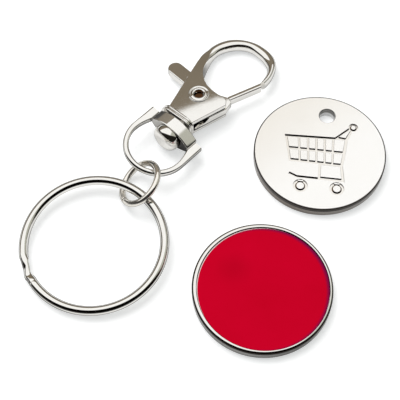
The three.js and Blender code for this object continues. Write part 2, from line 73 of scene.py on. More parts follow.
def split_axes(tree, value):
    """The X, Y and Z of a place or a direction."""
    parts = tree.nodes.new("ShaderNodeSeparateXYZ")
    tree.links.new(value, parts.inputs[0])
    return parts.outputs


def feed(tree, socket, value):
    """Puts a value on a socket: what another node puts out, a colour's three numbers or a number."""
    if isinstance(value, bpy.types.NodeSocket):
        tree.links.new(value, socket)
    elif isinstance(value, tuple):
        socket.default_value = (*value, 1.0)
    else:
        socket.default_value = value


def worked(tree, kind, *given, clamp=False):
    """One step of arithmetic on values."""
    step = tree.nodes.new("ShaderNodeMath")
    step.operation = kind
    step.use_clamp = clamp
    for socket, value in zip(step.inputs, given):
        feed(tree, socket, value)
    return step.outputs[0]


def measured(tree, kind, value, against):
    """How far a place lies from a point, or how much a direction agrees with another one."""
    step = tree.nodes.new("ShaderNodeVectorMath")
    step.operation = kind
    step.inputs[1].default_value = against
    tree.links.new(value, step.inputs[0])
    return step.outputs["Value"]


def mapped(tree, value, low, high, top=1.0, bottom=0.0, soft=True):
    """A mask that is bottom at low and runs to top at high."""
    mask = tree.nodes.new("ShaderNodeMapRange")
    if soft:
        mask.interpolation_type = "SMOOTHSTEP"
    feed(tree, mask.inputs["Value"], value)
    feed(tree, mask.inputs["From Min"], low)
    feed(tree, mask.inputs["From Max"], high)
    feed(tree, mask.inputs["To Min"], bottom)
    feed(tree, mask.inputs["To Max"], top)
    return mask.outputs["Result"]


def blended(tree, share, first, second, kind="MIX"):
    """Two colours blended by a share of the second."""
    blend = tree.nodes.new("ShaderNodeMix")
    blend.data_type = "RGBA"
    blend.blend_type = kind
    feed(tree, blend.inputs["Factor"], share)
    feed(tree, blend.inputs["A"], first)
    feed(tree, blend.inputs["B"], second)
    return blend.outputs["Result"]


# The room by direction: a zone's pair of numbers says where it starts and where it is full.
BOX_WHITE = (1.0, 1.0, 0.99)
BOX_SLANT = -0.25
BOX_END = (0.757, 0.759)
REAR_WALL = [
    (0.75, 0.225, 0.19, 0.143),
    (0.93, 0.18, 0.152, 0.112),
    (0.975, 0.05, 0.044, 0.036),
]
DARK_ROOM = (0.012, 0.011, 0.009)
SKYLINE = (0.14, 0.26)
SKYLINE_RISES_TO = (-0.36, -0.44, 0.0)
SKYLINE_RISES_PAST = 0.16
FRONT_END = (math.radians(66.0), math.radians(71.0))
FAR_RIGHT = (0.7, 0.5, 0.0)
FAR_RIGHT_ZONE = (0.6, 0.7)
FAR_RIGHT_GREY = (0.19, 0.16, 0.12)
NEAR_RIGHT = (1.0, -0.3, 0.0)
NEAR_RIGHT_ZONE = (0.45, 0.6)
NEAR_RIGHT_GREY = (0.47, 0.47, 0.41)
WHITE = (1.0, 1.0, 1.0)

world = bpy.data.worlds.new("studio")
world.use_nodes = True
bpy.context.scene.world = world
room = world.node_tree
room.nodes.clear()
direction = room.nodes.new("ShaderNodeTexCoord").outputs["Generated"]
axes = split_axes(room, direction)
over_front = worked(room, "ARCTAN2", axes["Z"], worked(room, "MULTIPLY", axes["Y"], -1.0))
aslant = worked(room, "MULTIPLY_ADD", axes["X"], BOX_SLANT, over_front)
half_turn = worked(room, "DIVIDE", aslant, math.pi)
rear_wall = room.nodes.new("ShaderNodeValToRGB")
ramp_stops(rear_wall.color_ramp, REAR_WALL)
room.links.new(half_turn, rear_wall.inputs[0])
colour = blended(room, mapped(room, half_turn, *BOX_END), BOX_WHITE, rear_wall.outputs["Color"])
far_right = measured(room, "DOT_PRODUCT", direction, FAR_RIGHT)
colour = blended(room, mapped(room, far_right, *FAR_RIGHT_ZONE), colour, FAR_RIGHT_GREY)
near_right = measured(room, "DOT_PRODUCT", direction, NEAR_RIGHT)
colour = blended(room, mapped(room, near_right, *NEAR_RIGHT_ZONE), colour, NEAR_RIGHT_GREY)
near_left = measured(room, "DOT_PRODUCT", direction, SKYLINE_RISES_TO)
risen = worked(room, "SUBTRACT", near_left, SKYLINE_RISES_PAST, clamp=True)
over_skyline = mapped(room, worked(room, "SUBTRACT", axes["Z"], risen), *SKYLINE)
lit = worked(room, "MULTIPLY", over_skyline, mapped(room, over_front, *FRONT_END))
colour = blended(room, lit, DARK_ROOM, colour)
seen_directly = room.nodes.new("ShaderNodeLightPath").outputs["Is Camera Ray"]
background = room.nodes.new("ShaderNodeBackground")
room.links.new(blended(room, seen_directly, colour, WHITE), background.inputs["Color"])
output = room.nodes.new("ShaderNodeOutputWorld")
room.links.new(background.outputs[0], output.inputs["Surface"])

SOFTBOX_SIDE = 0.3
softbox_data = bpy.data.lights.new("key_softbox", "AREA")
softbox_data.shape = "RECTANGLE"
softbox_data.size = SOFTBOX_SIDE
softbox_data.size_y = SOFTBOX_SIDE
softbox_data.energy = 1.3
softbox = bpy.data.objects.new("key_softbox", softbox_data)
bpy.context.scene.collection.objects.link(softbox)
softbox.location = (-0.15, 0.17, 0.38)
softbox.rotation_euler = (-softbox.location).to_track_quat("-Z", "Y").to_euler()
softbox.visible_glossy = False

TABLE_HALF = 0.6
PAPER_GREY = (0.66, 0.66, 0.66, 1.0)
PAPER_GLOW = (0.97, 0.99, 1.0, 1.0)
GLOW_SEEN = 0.52
GLOW_MIRRORED = 0.2
table_mesh = bpy.data.meshes.new("table")
corners = [(x * TABLE_HALF, y * TABLE_HALF, 0.0) for x, y in ((-1, -1), (1, -1), (1, 1), (-1, 1))]
table_mesh.from_pydata(corners, [], [(0, 1, 2, 3)])
table = bpy.data.objects.new("table", table_mesh)
bpy.context.scene.collection.objects.link(table)
table_white = bpy.data.materials.new("table_white")
table_white.use_nodes = True
tree = table_white.node_tree
tree.nodes.clear()
paper = tree.nodes.new("ShaderNodeBsdfDiffuse")
paper.inputs["Color"].default_value = PAPER_GREY
glow = tree.nodes.new("ShaderNodeEmission")
glow.inputs["Color"].default_value = PAPER_GLOW
rays = tree.nodes.new("ShaderNodeLightPath").outputs
seen_glow = worked(tree, "MULTIPLY", rays["Is Camera Ray"], GLOW_SEEN)
both_glows = worked(tree, "MULTIPLY_ADD", rays["Is Glossy Ray"], GLOW_MIRRORED, seen_glow)
tree.links.new(both_glows, glow.inputs["Strength"])
lit_paper = tree.nodes.new("ShaderNodeAddShader")
tree.links.new(paper.outputs[0], lit_paper.inputs[0])
tree.links.new(glow.outputs[0], lit_paper.inputs[1])
output = tree.nodes.new("ShaderNodeOutputMaterial")
tree.links.new(lit_paper.outputs[0], output.inputs["Surface"])
table.data.materials.append(table_white)

# Clasp body
# A zinc casting with bright nickel plating: two cheek plates with a slot between, a hook that grows
# out of them, a boss round the gate pin on each cheek and a double-ridged lip at the rear.
CLASP_TURN = math.radians(47.5)
CLASP_NOSE_DOWN = math.radians(3.5)
CLASP_ROLL = math.radians(-5.0)
SWIVEL_SIDE = -1.5
CHEEK_HALF = 1.65
CHEEK_EDGE = 0.1
SLOT_HALF = 0.95
ON_AXIS = 1e-6
FLAT_FACE = 0.9999


def beside_aim(x, y, z=0.0):
    """A place in millimetres, measured from the point that the camera looks at."""
    return Vector((x + AIM_X, y + AIM_Y, z))


CLASP_PIN = beside_aim(-0.16, 19.23, 2.58)


def clasp_place(roll, from_pin):
    """Where a piece drawn along the clasp goes: X to the nose, Y to the tab's side, in millimetres."""
    turn = Matrix.Rotation(CLASP_TURN, 4, "Z")
    nose = Matrix.Rotation(CLASP_NOSE_DOWN, 4, "Y")
    swivel_line = CLASP_PIN + turn @ Vector((0.0, SWIVEL_SIDE, 0.0))
    place = Matrix.Translation(swivel_line) @ turn @ nose @ Matrix.Rotation(roll, 4, "X")
    if from_pin:
        place = place @ Matrix.Translation((0.0, -SWIVEL_SIDE, 0.0))
    return Matrix.Scale(MM, 4) @ place


def solid_mesh(name, points, faces):
    """A mesh object of its own from points and faces, its faces turned outwards."""
    mesh = bpy.data.meshes.new(name)
    mesh.from_pydata([tuple(p) for p in points], [], faces)
    shaped = bmesh.new()
    shaped.from_mesh(mesh)
    bmesh.ops.recalc_face_normals(shaped, faces=shaped.faces)
    shaped.to_mesh(mesh)
    shaped.free()
    piece = bpy.data.objects.new(name, mesh)
    bpy.context.scene.collection.objects.link(piece)
    return piece


def lofted(name, rings):
    """Joins rings of points one after another, with a face on each end."""
    count = len(rings[0])
    points = [p for ring in rings for p in ring]
    last = len(points) - count
    faces = []
    for low in range(0, last, count):
        for j in range(count):
            k = (j + 1) % count
            faces.append((low + j, low + k, low + count + k, low + count + j))
    faces.append(tuple(range(count)))
    faces.append(tuple(range(last, len(points))))
    return solid_mesh(name, points, faces)


def prism(name, outline, low, high):
    """A straight block of a plan outline between two heights."""
    return lofted(name, [[(x, y, z) for x, y in outline] for z in (low, high)])


def round_row(radius, height, sides):
    """Points round a circle at one height."""
    angles = [2 * math.pi * i / sides for i in range(sides)]
    return [(radius * math.cos(angle), radius * math.sin(angle), height) for angle in angles]


def lathed(name, profile, sides):
    """A turned piece round Z from (radius, height) points; a point on the axis closes its end."""
    points = []
    faces = []
    rows = []
    for radius, height in profile:
        row = [(0.0, 0.0, height)] if radius <= ON_AXIS else round_row(radius, height, sides)
        rows.append(list(range(len(points), len(points) + len(row))))
        points += row
    closed_rows = rows if profile[0][0] <= ON_AXIS else rows + [rows[0]]
    for low, high in zip(closed_rows, closed_rows[1:]):
        for i in range(sides):
            j = (i + 1) % sides
            if len(low) == 1:
                faces.append((low[0], high[j], high[i]))
            elif len(high) == 1:
                faces.append((low[i], low[j], high[0]))
            else:
                faces.append((low[i], low[j], high[j], high[i]))
    return solid_mesh(name, points, faces)


def drill(name, radius, low, high, sides=64):
    """A round cutter between two heights."""
    return lathed(name, [(0.0, low), (radius, low), (radius, high), (0.0, high)], sides)


def apply_modifiers(piece):
    """Turns a piece's modifiers into plain mesh."""
    shown = piece.evaluated_get(bpy.context.evaluated_depsgraph_get())
    baked = bpy.data.meshes.new_from_object(shown)
    old = piece.data
    piece.modifiers.clear()
    piece.data = baked
    bpy.data.meshes.remove(old)


def round_edges(piece, width, segments, angle=40.0):
    """Rounds every edge sharper than the angle, as plating and tumbling leave it."""
    bevel = piece.modifiers.new("rounding", "BEVEL")
    bevel.width = width
    bevel.segments = segments
    bevel.limit_method = "ANGLE"
    bevel.angle_limit = math.radians(angle)
    bevel.use_clamp_overlap = True
    apply_modifiers(piece)


def cut_or_join(piece, other, operation):
    """A boolean of two closed pieces; the second one is used up."""
    step = piece.modifiers.new("step", "BOOLEAN")
    step.operation = operation
    step.solver = "EXACT"
    step.object = other
    bpy.context.view_layer.update()
    apply_modifiers(piece)
    bpy.data.objects.remove(other)


def smooth_metal(piece, angle=38.0):
    """Smooth shading across rounded stretches, with flats kept flat and real corners kept sharp."""
    piece.data.shade_smooth()
    for face in piece.data.polygons:
        face.use_smooth = abs(face.normal.z) < FLAT_FACE
    piece.data.set_sharp_from_angle(angle=math.radians(angle))
    weighted = piece.modifiers.new("flats", "WEIGHTED_NORMAL")
    weighted.keep_sharp = True
    apply_modifiers(piece)


def put_in_place(piece, place):
    """Moves a piece's mesh to its place in the frame and leaves the object at the origin."""
    piece.data.transform(place)
    piece.matrix_world = Matrix.Identity(4)


def eased(share):
    """Holds a share between 0 and 1 and softens its start and end."""
    share = min(max(share, 0.0), 1.0)
    return share * share * (3 - 2 * share)


def even_curve(points, count):
    """Evenly spaced points on a smooth curve through the given ones."""
    between = 24
    dense = []
    for i in range(len(points) - 1):
        before = Vector(points[max(i - 1, 0)])
        start = Vector(points[i])
        end = Vector(points[i + 1])
        after = Vector(points[min(i + 2, len(points) - 1)])
        leaving = start + (end - before) / 6
        arriving = end - (after - start) / 6
        dense += interpolate_bezier(start, leaving, arriving, end, between)[:-1]
    dense.append(Vector(points[-1]))
    lengths = [0.0]
    for a, b in zip(dense, dense[1:]):
        lengths.append(lengths[-1] + (b - a).length)
    spaced = []
    at = 0
    for i in range(count):
        wanted = lengths[-1] * i / (count - 1)
        while at < len(dense) - 2 and lengths[at + 1] < wanted:
            at += 1
        share = (wanted - lengths[at]) / (lengths[at + 1] - lengths[at])
        spaced.append(dense[at].lerp(dense[at + 1], share))
    return spaced


def rounded_section(a, b, half, corner, steps):
    """A rounded rectangle standing on the line from a to b, half thick each way."""
    along = (b - a).to_3d()
    width = along.length
    along.normalize()
    ring = []
    for turn, (cx, cz) in enumerate(((1, 1), (-1, 1), (-1, -1), (1, -1))):
        for i in range(steps + 1):
            angle = math.pi / 2 * (turn + i / steps)
            x = width / 2 + cx * (width / 2 - corner) + corner * math.cos(angle)
            z = cz * (half - corner) + corner * math.sin(angle)
            ring.append(a.to_3d() + along * x + Vector((0.0, 0.0, z)))
    return ring


def full_section(a, b, half, power, lean=0.0, flat_share=0.0):
    """A section between a square and an oval (power 2) on the line from a to b, tipped by lean."""
    steps = 40
    along = (b - a).to_3d()
    wide = along.length / 2
    along.normalize()
    middle = ((a + b) / 2).to_3d()
    ring = []
    for i in range(steps):
        angle = 2 * math.pi * i / steps
        c = math.cos(angle)
        s = math.sin(angle)
        x = wide * math.copysign(abs(c) ** (2 / power), c)
        z = half * math.copysign(min(1.0, (1.0 + flat_share) * abs(s) ** (2 / power)), s)
        flat = x * math.cos(lean) - z * math.sin(lean)
        high = x * math.sin(lean) + z * math.cos(lean)
        ring.append(middle + along * flat + Vector((0.0, 0.0, high)))
    return ring


def noise(tree, place, scale, detail):
    """A noise over a surface at one scale."""
    pattern = tree.nodes.new("ShaderNodeTexNoise")
    tree.links.new(place, pattern.inputs["Vector"])
    feed(tree, pattern.inputs["Scale"], scale)
    pattern.inputs["Detail"].default_value = detail
    return pattern


def plating_speckle():
    """The fine unevenness of plated metal: a soft grain, faint clouds and a slight height."""
    group = bpy.data.node_groups.new("plating_speckle", "ShaderNodeTree")
    for name in ("Grain scale", "Ripple scale", "Cloud scale", "Roughness low", "Roughness high"):
        group.interface.new_socket(name, in_out="INPUT", socket_type="NodeSocketFloat")
    for name in ("Tint", "Dull tint"):
        group.interface.new_socket(name, in_out="INPUT", socket_type="NodeSocketColor")
    group.interface.new_socket("Color", in_out="OUTPUT", socket_type="NodeSocketColor")
    for name in ("Roughness", "Height"):
        group.interface.new_socket(name, in_out="OUTPUT", socket_type="NodeSocketFloat")
    given = group.nodes.new("NodeGroupInput").outputs
    out = group.nodes.new("NodeGroupOutput").inputs
    place = group.nodes.new("ShaderNodeTexCoord").outputs["Object"]
    grain = noise(group, place, given["Grain scale"], detail=5.0)
    grain.inputs["Roughness"].default_value = 0.65
    clouds = noise(group, place, given["Cloud scale"], detail=3.0).outputs["Fac"]
    ripple = noise(group, place, given["Ripple scale"], detail=2.0).outputs["Fac"]
    grain_share = 0.25
    height = worked(group, "MULTIPLY_ADD", grain.outputs["Fac"], grain_share, ripple)
    smooth = given["Roughness low"]
    rough = mapped(group, grain.outputs["Fac"], low=0.35, high=0.7,
                   top=given["Roughness high"], bottom=smooth, soft=False)
    feed(group, out["Color"], blended(group, clouds, given["Tint"], given["Dull tint"]))
    feed(group, out["Roughness"], rough)
    feed(group, out["Height"], height)
    return group


plating = plating_speckle()
METAL_CLOUDS = 350.0
# Painted dark reflection: the colour that metal is blended towards at grazing view and, by FLANKS, on flanks
# that slope towards the near side.
PAINTED_DARK_REFLECTION = (0.05, 0.045, 0.04)
FLANKS = [("Z", 0.38, 0.46), ("Z", 0.9, 0.84), ("Y", -0.25, -0.45)]


def plated_metal(name, tint, dull, rough, grain=3000.0, ripple=900.0, relief=0.000002,
                 painted_grazing_dark=(0.58, 0.9, 0.9), painted_flank_dark=0.0):
    """A metal finish with the plating's speckle and a painted dark reflection at grazing view and on its
    near flanks.
    """
    finish = bpy.data.materials.new(name)
    finish.use_nodes = True
    tree = finish.node_tree
    shader = tree.nodes["Principled BSDF"]
    shader.inputs["Metallic"].default_value = 1.0
    speckle = tree.nodes.new("ShaderNodeGroup")
    speckle.node_tree = plating
    feed(tree, speckle.inputs["Grain scale"], grain)
    feed(tree, speckle.inputs["Cloud scale"], METAL_CLOUDS)
    feed(tree, speckle.inputs["Ripple scale"], ripple)
    feed(tree, speckle.inputs["Tint"], tint)
    feed(tree, speckle.inputs["Dull tint"], dull)
    feed(tree, speckle.inputs["Roughness low"], rough[0])
    feed(tree, speckle.inputs["Roughness high"], rough[1])
    # Painted dark reflection at grazing view, and on the near flanks if asked for.
    turned = tree.nodes.new("ShaderNodeLayerWeight")
    turned.inputs["Blend"].default_value = 0.5
    painted_darkening = mapped(tree, turned.outputs["Facing"], *painted_grazing_dark)
    if painted_flank_dark:
        normal = split_axes(tree, tree.nodes.new("ShaderNodeTexCoord").outputs["Normal"])
        low_side, upper_side, near_side = [
            mapped(tree, normal[axis], low, high, painted_flank_dark) for axis, low, high in FLANKS
        ]
        flank = worked(tree, "MINIMUM", worked(tree, "MINIMUM", low_side, upper_side), near_side)
        painted_darkening = worked(tree, "MAXIMUM", painted_darkening, flank)
    colour = blended(tree, painted_darkening, speckle.outputs["Color"], PAINTED_DARK_REFLECTION)
    tree.links.new(colour, shader.inputs["Base Color"])
    tree.links.new(speckle.outputs["Roughness"], shader.inputs["Roughness"])
    bump = tree.nodes.new("ShaderNodeBump")
    bump.inputs["Strength"].default_value = 1.0
    bump.inputs["Distance"].default_value = relief
    tree.links.new(speckle.outputs["Height"], bump.inputs["Height"])
    tree.links.new(bump.outputs["Normal"], shader.inputs["Normal"])
    return finish


CAST_TINT = (0.94, 0.925, 0.895)
CAST_DULL = (0.88, 0.86, 0.82)
cast_nickel = plated_metal("cast_nickel", CAST_TINT, CAST_DULL, rough=(0.02, 0.045),
                           ripple=3600.0, relief=0.00000022)

CHEEKS = [
    (-6.0, 2.0),
    (-6.0, -3.4),
    (1.3, -5.3),
    (2.1, -4.7),
    (2.4, -3.9),
    (2.25, -2.6),
    (2.3, -1.1),
    (2.6, 0.35),
    (3.3, 1.85),
    (4.2, 2.85),
    (3.6, 4.9),
]
clasp_body = prism("clasp_casting", CHEEKS, -CHEEK_HALF, CHEEK_HALF)
round_edges(clasp_body, CHEEK_EDGE, segments=3)

HOOK_OUTER = [
    (0.4, 4.05),
    (3.1, 4.75),
    (6.05, 5.7),
    (8.4, 6.48),
    (11.3, 6.58),
    (13.95, 5.55),
    (15.8, 3.55),
    (16.85, 0.9),
    (16.95, -1.7),
    (16.4, -3.8),
    (15.1, -5.4),
    (13.15, -6.4),
    (11.6, -6.8),
    (10.3, -6.85),
]
HOOK_INNER = [
    (2.8, 0.9),
    (3.9, 2.5),
    (5.3, 3.65),
    (7.4, 4.5),
    (10.2, 4.95),
    (12.3, 4.35),
    (14.2, 2.9),
    (15.25, 0.9),
    (15.15, -1.7),
    (14.65, -3.25),
    (13.9, -4.45),
    (12.7, -5.35),
    (11.2, -5.8),
    (9.95, -5.95),
]
HOOK_END_HALF = 1.05
HOOK_SPREAD = 0.06
HOOK_SPREAD_INSIDE = 0.2
HOOK_LEAN = math.radians(-2.5)
HOOK_ROOT_POWER = 9.0
HOOK_POWER_DROP = 6.7
HOOK_ROOT_FLAT = 0.4
HOOK_STATIONS = 64
HOOK_FIRST = 2
TIP_STATIONS = 14
TAPER_FROM = 3.4
TAPER_TO = 10.0
outer_edge = even_curve(HOOK_OUTER, HOOK_STATIONS)
inner_edge = even_curve(HOOK_INNER, HOOK_STATIONS)
hook_rings = []
for i in range(HOOK_FIRST, HOOK_STATIONS):
    outside = outer_edge[i]
    inside = inner_edge[i]
    run = eased(((outside.x + inside.x) / 2 - TAPER_FROM) / (TAPER_TO - TAPER_FROM))
    half = CHEEK_HALF + (HOOK_END_HALF - CHEEK_HALF) * run
    near_tip = min(1.0, (HOOK_STATIONS - 1 - i) / TIP_STATIONS)
    spread = (outside - inside).normalized() * run * near_tip
    inside = inside - spread * HOOK_SPREAD_INSIDE
    outside = outside + spread * HOOK_SPREAD
    power = HOOK_ROOT_POWER - HOOK_POWER_DROP * run ** 0.8
    flat_share = HOOK_ROOT_FLAT * (1 - run)
    hook_rings.append(full_section(inside, outside, half, power, HOOK_LEAN * run, flat_share))
cut_or_join(clasp_body, lofted("hook", hook_rings), "UNION")

SLOT = [
    (-5.4, -7.0),
    (-5.4, -3.15),
    (-3.2, -3.15),
    (-3.2, 1.6),
    (-2.7, 7.0),
    (4.3, 7.0),
    (3.95, 3.3),
    (3.3, 2.2),
    (4.6, 0.6),
    (4.6, -7.0),
]
PIN_HOLE_RADIUS = 0.9
PIN_HOLE_REACH = 3.0
cut_or_join(clasp_body, prism("slot", SLOT, -SLOT_HALF, SLOT_HALF), "DIFFERENCE")
pin_hole = drill("pin_hole", PIN_HOLE_RADIUS, -PIN_HOLE_REACH, PIN_HOLE_REACH, sides=48)
cut_or_join(clasp_body, pin_hole, "DIFFERENCE")

BOSS_PROFILE = [
    (0.88, 1.3),
    (1.5, 1.3),
    (1.9, 1.5),
    (1.9, 1.7),
    (1.86, 1.8),
    (1.77, 1.84),
    (1.68, 1.81),
    (1.6, 1.74),
    (1.52, 1.72),
    (1.44, 1.75),
    (1.34, 1.84),
    (1.22, 1.87),
    (1.08, 1.86),
    (0.96, 1.8),
    (0.89, 1.7),
]
LIP_RINGS = [
    (-6.65, 0.12),
    (-6.62, 0.04),
    (-6.54, 0.0),
    (-6.36, 0.0),
    (-6.28, 0.04),
    (-6.24, 0.13),
    (-6.2, 0.22),
    (-6.08, 0.22),
    (-6.04, 0.13),
    (-6.0, 0.04),
    (-5.92, 0.0),
    (-5.72, 0.0),
    (-5.63, 0.04),
    (-5.59, 0.12),
]
LIP_HALF_WIDTH = 3.5
LIP_HALF_HEIGHT = 2.25
LIP_CORNER = 1.7
LIP_CORNER_STEPS = 10
LIP_MIDDLE = SWIVEL_SIDE + 1.1
RIVET_HOLE_RADIUS = 1.4
RIVET_HOLE_FROM = 4.2
RIVET_HOLE_TO = 8.0
lip_rings = []
for x, inset in LIP_RINGS:
    left = Vector((x, LIP_MIDDLE - LIP_HALF_WIDTH + inset))
    right = Vector((x, LIP_MIDDLE + LIP_HALF_WIDTH - inset))
    half = LIP_HALF_HEIGHT - inset
    lip_rings.append(rounded_section(left, right, half, LIP_CORNER - inset, LIP_CORNER_STEPS))
lip = lofted("lip", lip_rings)
smooth_metal(lip)
boss_upper = lathed("boss_upper", BOSS_PROFILE, sides=72)
boss_lower = lathed("boss_lower", [(radius, -height) for radius, height in BOSS_PROFILE], sides=72)
for piece in (boss_upper, boss_lower, lip):
    cut_or_join(clasp_body, piece, "UNION")
backwards = Matrix.Rotation(math.radians(-90.0), 4, "Y")
rivet_hole = drill("rivet_hole", RIVET_HOLE_RADIUS, RIVET_HOLE_FROM, RIVET_HOLE_TO)
rivet_hole.data.transform(Matrix.Translation((0.0, SWIVEL_SIDE, 0.0)) @ backwards)
cut_or_join(clasp_body, rivet_hole, "DIFFERENCE")
smooth_metal(clasp_body)
put_in_place(clasp_body, clasp_place(CLASP_ROLL, True))
clasp_body.data.materials.clear()
clasp_body.data.materials.append(cast_nickel)
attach(clasp_body, "clasp")
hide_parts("clasp_body")

# Gate lever
# One plated lever: the sprung gate that closes the hook and the thumb tab that opens it.
# It turns on the pin between the cheeks; its thick gate has bevelled edges and a cut end at the hook's tip.
LEVER_HALF = 0.75
TAB_MIDDLE = 1.75
TAB_HALF = 1.42
TAB_NECK = 2.6
TAB_REACH = 9.6
TAB_END = TAB_REACH - TAB_HALF
TAB_LEAN = math.radians(-4.5)
TAB_EDGE = 0.22
TAB_STEPS = 16
HEEL_LOW = 0.02 - LEVER_HALF
HEEL_HIGH = LEVER_HALF - 0.14
HEEL_EDGE = 0.12
TOE_EDGE = 0.05


def merge(piece, others):
    """Joins other meshes to a piece as they are."""
    with bpy.context.temp_override(active_object=piece, selected_editable_objects=[piece, *others]):
        bpy.ops.object.join()


tab_outline = [
    (TAB_MIDDLE - TAB_HALF, 0.0),
    (TAB_NECK, 0.0),
    (TAB_NECK, 2.3),
    (TAB_MIDDLE + TAB_HALF, 2.9),
]
for i in range(TAB_STEPS + 1):
    angle = math.pi * i / TAB_STEPS
    tab_outline.append((TAB_MIDDLE + TAB_HALF * math.cos(angle), TAB_END + TAB_HALF * math.sin(angle)))
tab = prism("lever_tab", tab_outline, -LEVER_HALF, LEVER_HALF)
tab.data.transform(Matrix.Rotation(TAB_LEAN, 4, "Z"))
round_edges(tab, TAB_EDGE, segments=4)

HEEL = [
    (-2.3, -0.5),
    (-2.3, -3.35),
    (-2.1, -4.49),
    (1.3, -5.42),
    (3.1, -5.05),
    (3.5, -3.9),
    (2.3, -0.5),
]
heel = prism("lever_heel", HEEL, HEEL_LOW, HEEL_HIGH)
round_edges(heel, HEEL_EDGE, segments=3)
TOE = [
    (-1.9, -3.4, 0.55),
    (-1.9, -4.5, 0.55),
    (-3.0, -4.2, -0.3),
    (-5.0, -3.6, -0.72),
    (-5.0, -3.4, -0.72),
    (-3.0, -3.4, -0.3),
]
toe = lofted("lever_toe", [[(x, y, -LEVER_HALF) for x, y, top in TOE], TOE])
round_edges(toe, TOE_EDGE, segments=2)
HUB_PROFILE = [(0.0, -0.71), (2.2, -0.71), (2.3, -0.6), (2.3, 0.6), (2.2, 0.71), (0.0, 0.71)]
hub = lathed("lever_hub", HUB_PROFILE, sides=48)

GATE_HALF = 0.8
GATE_POWER = 6.0
GATE_LEAN = math.radians(1.0)
GATE_SPANS = 8
gate_start_outer = Vector((3.2, -4.65))
gate_start_inner = Vector((3.5, -3.8))
gate_end_outer = Vector((9.25, -6.84))
gate_end_inner = Vector((9.8, -6.08))
gate_rings = []
for i in range(GATE_SPANS + 1):
    share = i / GATE_SPANS
    outside = gate_start_outer.lerp(gate_end_outer, share)
    inside = gate_start_inner.lerp(gate_end_inner, share)
    gate_rings.append(full_section(inside, outside, GATE_HALF, GATE_POWER, GATE_LEAN))
gate = lofted("gate_lever_piece", gate_rings)
for piece in (tab, heel, toe, hub, gate):
    smooth_metal(piece)
merge(gate, [tab, heel, toe, hub])
put_in_place(gate, clasp_place(CLASP_ROLL, True))
gate.data.materials.append(cast_nickel)
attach(gate, "gate")
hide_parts("gate_lever")

# Gate pin
# A short dull steel pin, pressed through both cheeks, that the lever turns on.
# Its ends sit well down inside the bosses.
PIN_PROFILE = [(0.0, -1.1), (0.7, -1.1), (0.78, -1.0), (0.78, 1.0), (0.7, 1.1), (0.0, 1.12)]
PIN_BROWN = (0.2, 0.095, 0.04)
PIN_DULL = (0.12, 0.055, 0.025)
pin_metal = plated_metal("pin_metal", PIN_BROWN, PIN_DULL, rough=(0.45, 0.65), grain=6000.0)
pin = lathed("pin_piece", PIN_PROFILE, sides=40)
smooth_metal(pin)
put_in_place(pin, clasp_place(CLASP_ROLL, True))
pin.data.materials.append(pin_metal)
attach(pin, "clasp")
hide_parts("gate_pin")

# Gate spring
# A bowed leaf of plain spring steel that pushes the gate shut.
# It lies in the slot behind the lever, where only the slot's side mouth shows it.
LEAF_HALF = 0.75
LEAF_FRONT = -2.65
LEAF_BACK = -2.95
LEAF_BOW = 0.1
LEAF_FROM = 1.2
LEAF_TO = -3.0
LEAF_EDGE = 0.05
LEAF_STEPS = 12
LEAF_GREY = (0.42, 0.42, 0.42)
LEAF_DULL = (0.33, 0.32, 0.31)
spring_metal = plated_metal("spring_metal", LEAF_GREY, LEAF_DULL, rough=(0.25, 0.4), grain=6000.0)
leaf_front = []
leaf_back = []
for i in range(LEAF_STEPS + 1):
    share = i / LEAF_STEPS
    bow = LEAF_BOW * (1 - (2 * share - 1) ** 2)
    y = LEAF_FROM + (LEAF_TO - LEAF_FROM) * share
    leaf_front.append((LEAF_FRONT - bow, y))
    leaf_back.append((LEAF_BACK - bow, y))
spring = prism("leaf_spring", leaf_front + leaf_back[::-1], -LEAF_HALF, LEAF_HALF)
round_edges(spring, LEAF_EDGE, segments=2)
smooth_metal(spring)
put_in_place(spring, clasp_place(CLASP_ROLL, True))
spring.data.materials.append(spring_metal)
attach(spring, "clasp")
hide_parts("gate_spring")

# Swivel rivet
# A turned steel rivet with polished nickel plating, fixed in the clasp's rear.
# Its shank carries the yoke and its big domed head keeps the collar on.
NICKEL = (0.95, 0.935, 0.905)
NICKEL_DULL = (0.89, 0.87, 0.83)
POLISHED_RELIEF = 0.0000006
COLLAR_FRONT = -6.95
COLLAR_LENGTH = 2.5
COLLAR_PLAY = 0.15
RIVET_BACK = COLLAR_FRONT - COLLAR_LENGTH - COLLAR_PLAY
HEAD_RADIUS = 2.55
HEAD_DOME = 1.75
HEAD_ROUND = 2.0 / 2.9
HEAD_FROM = 0.2 - RIVET_BACK
HEAD_STEPS = 32
SHANK_RADIUS = 1.3


def polished_metal(name, painted_grazing_dark, painted_flank_dark=0.0, rough=(0.03, 0.07)):
    """Polished nickel plating, smoother than the casting's."""
    return plated_metal(name, NICKEL, NICKEL_DULL, rough,
                        relief=POLISHED_RELIEF, painted_grazing_dark=painted_grazing_dark, painted_flank_dark=painted_flank_dark)


head_nickel = polished_metal("head_nickel", painted_grazing_dark=(0.6, 0.9, 0.2), rough=(0.08, 0.14))
rivet_profile = [
    (0.0, 4.5),
    (SHANK_RADIUS, 4.5),
    (SHANK_RADIUS, -RIVET_BACK - 0.12),
    (1.42, -RIVET_BACK),
    (2.38, -RIVET_BACK),
    (2.5, -RIVET_BACK + 0.05),
]
for i in range(HEAD_STEPS):
    angle = math.pi / 2 * i / HEAD_STEPS
    radius = HEAD_RADIUS * math.cos(angle) ** HEAD_ROUND
    rivet_profile.append((radius, HEAD_FROM + HEAD_DOME * math.sin(angle) ** HEAD_ROUND))
rivet_profile.append((0.0, HEAD_FROM + HEAD_DOME))
rivet = lathed("rivet_piece", rivet_profile, sides=96)
rivet.data.transform(backwards)
smooth_metal(rivet)
put_in_place(rivet, clasp_place(0.0, False))
rivet.data.materials.append(head_nickel)
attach(rivet, "clasp")
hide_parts("swivel_rivet")

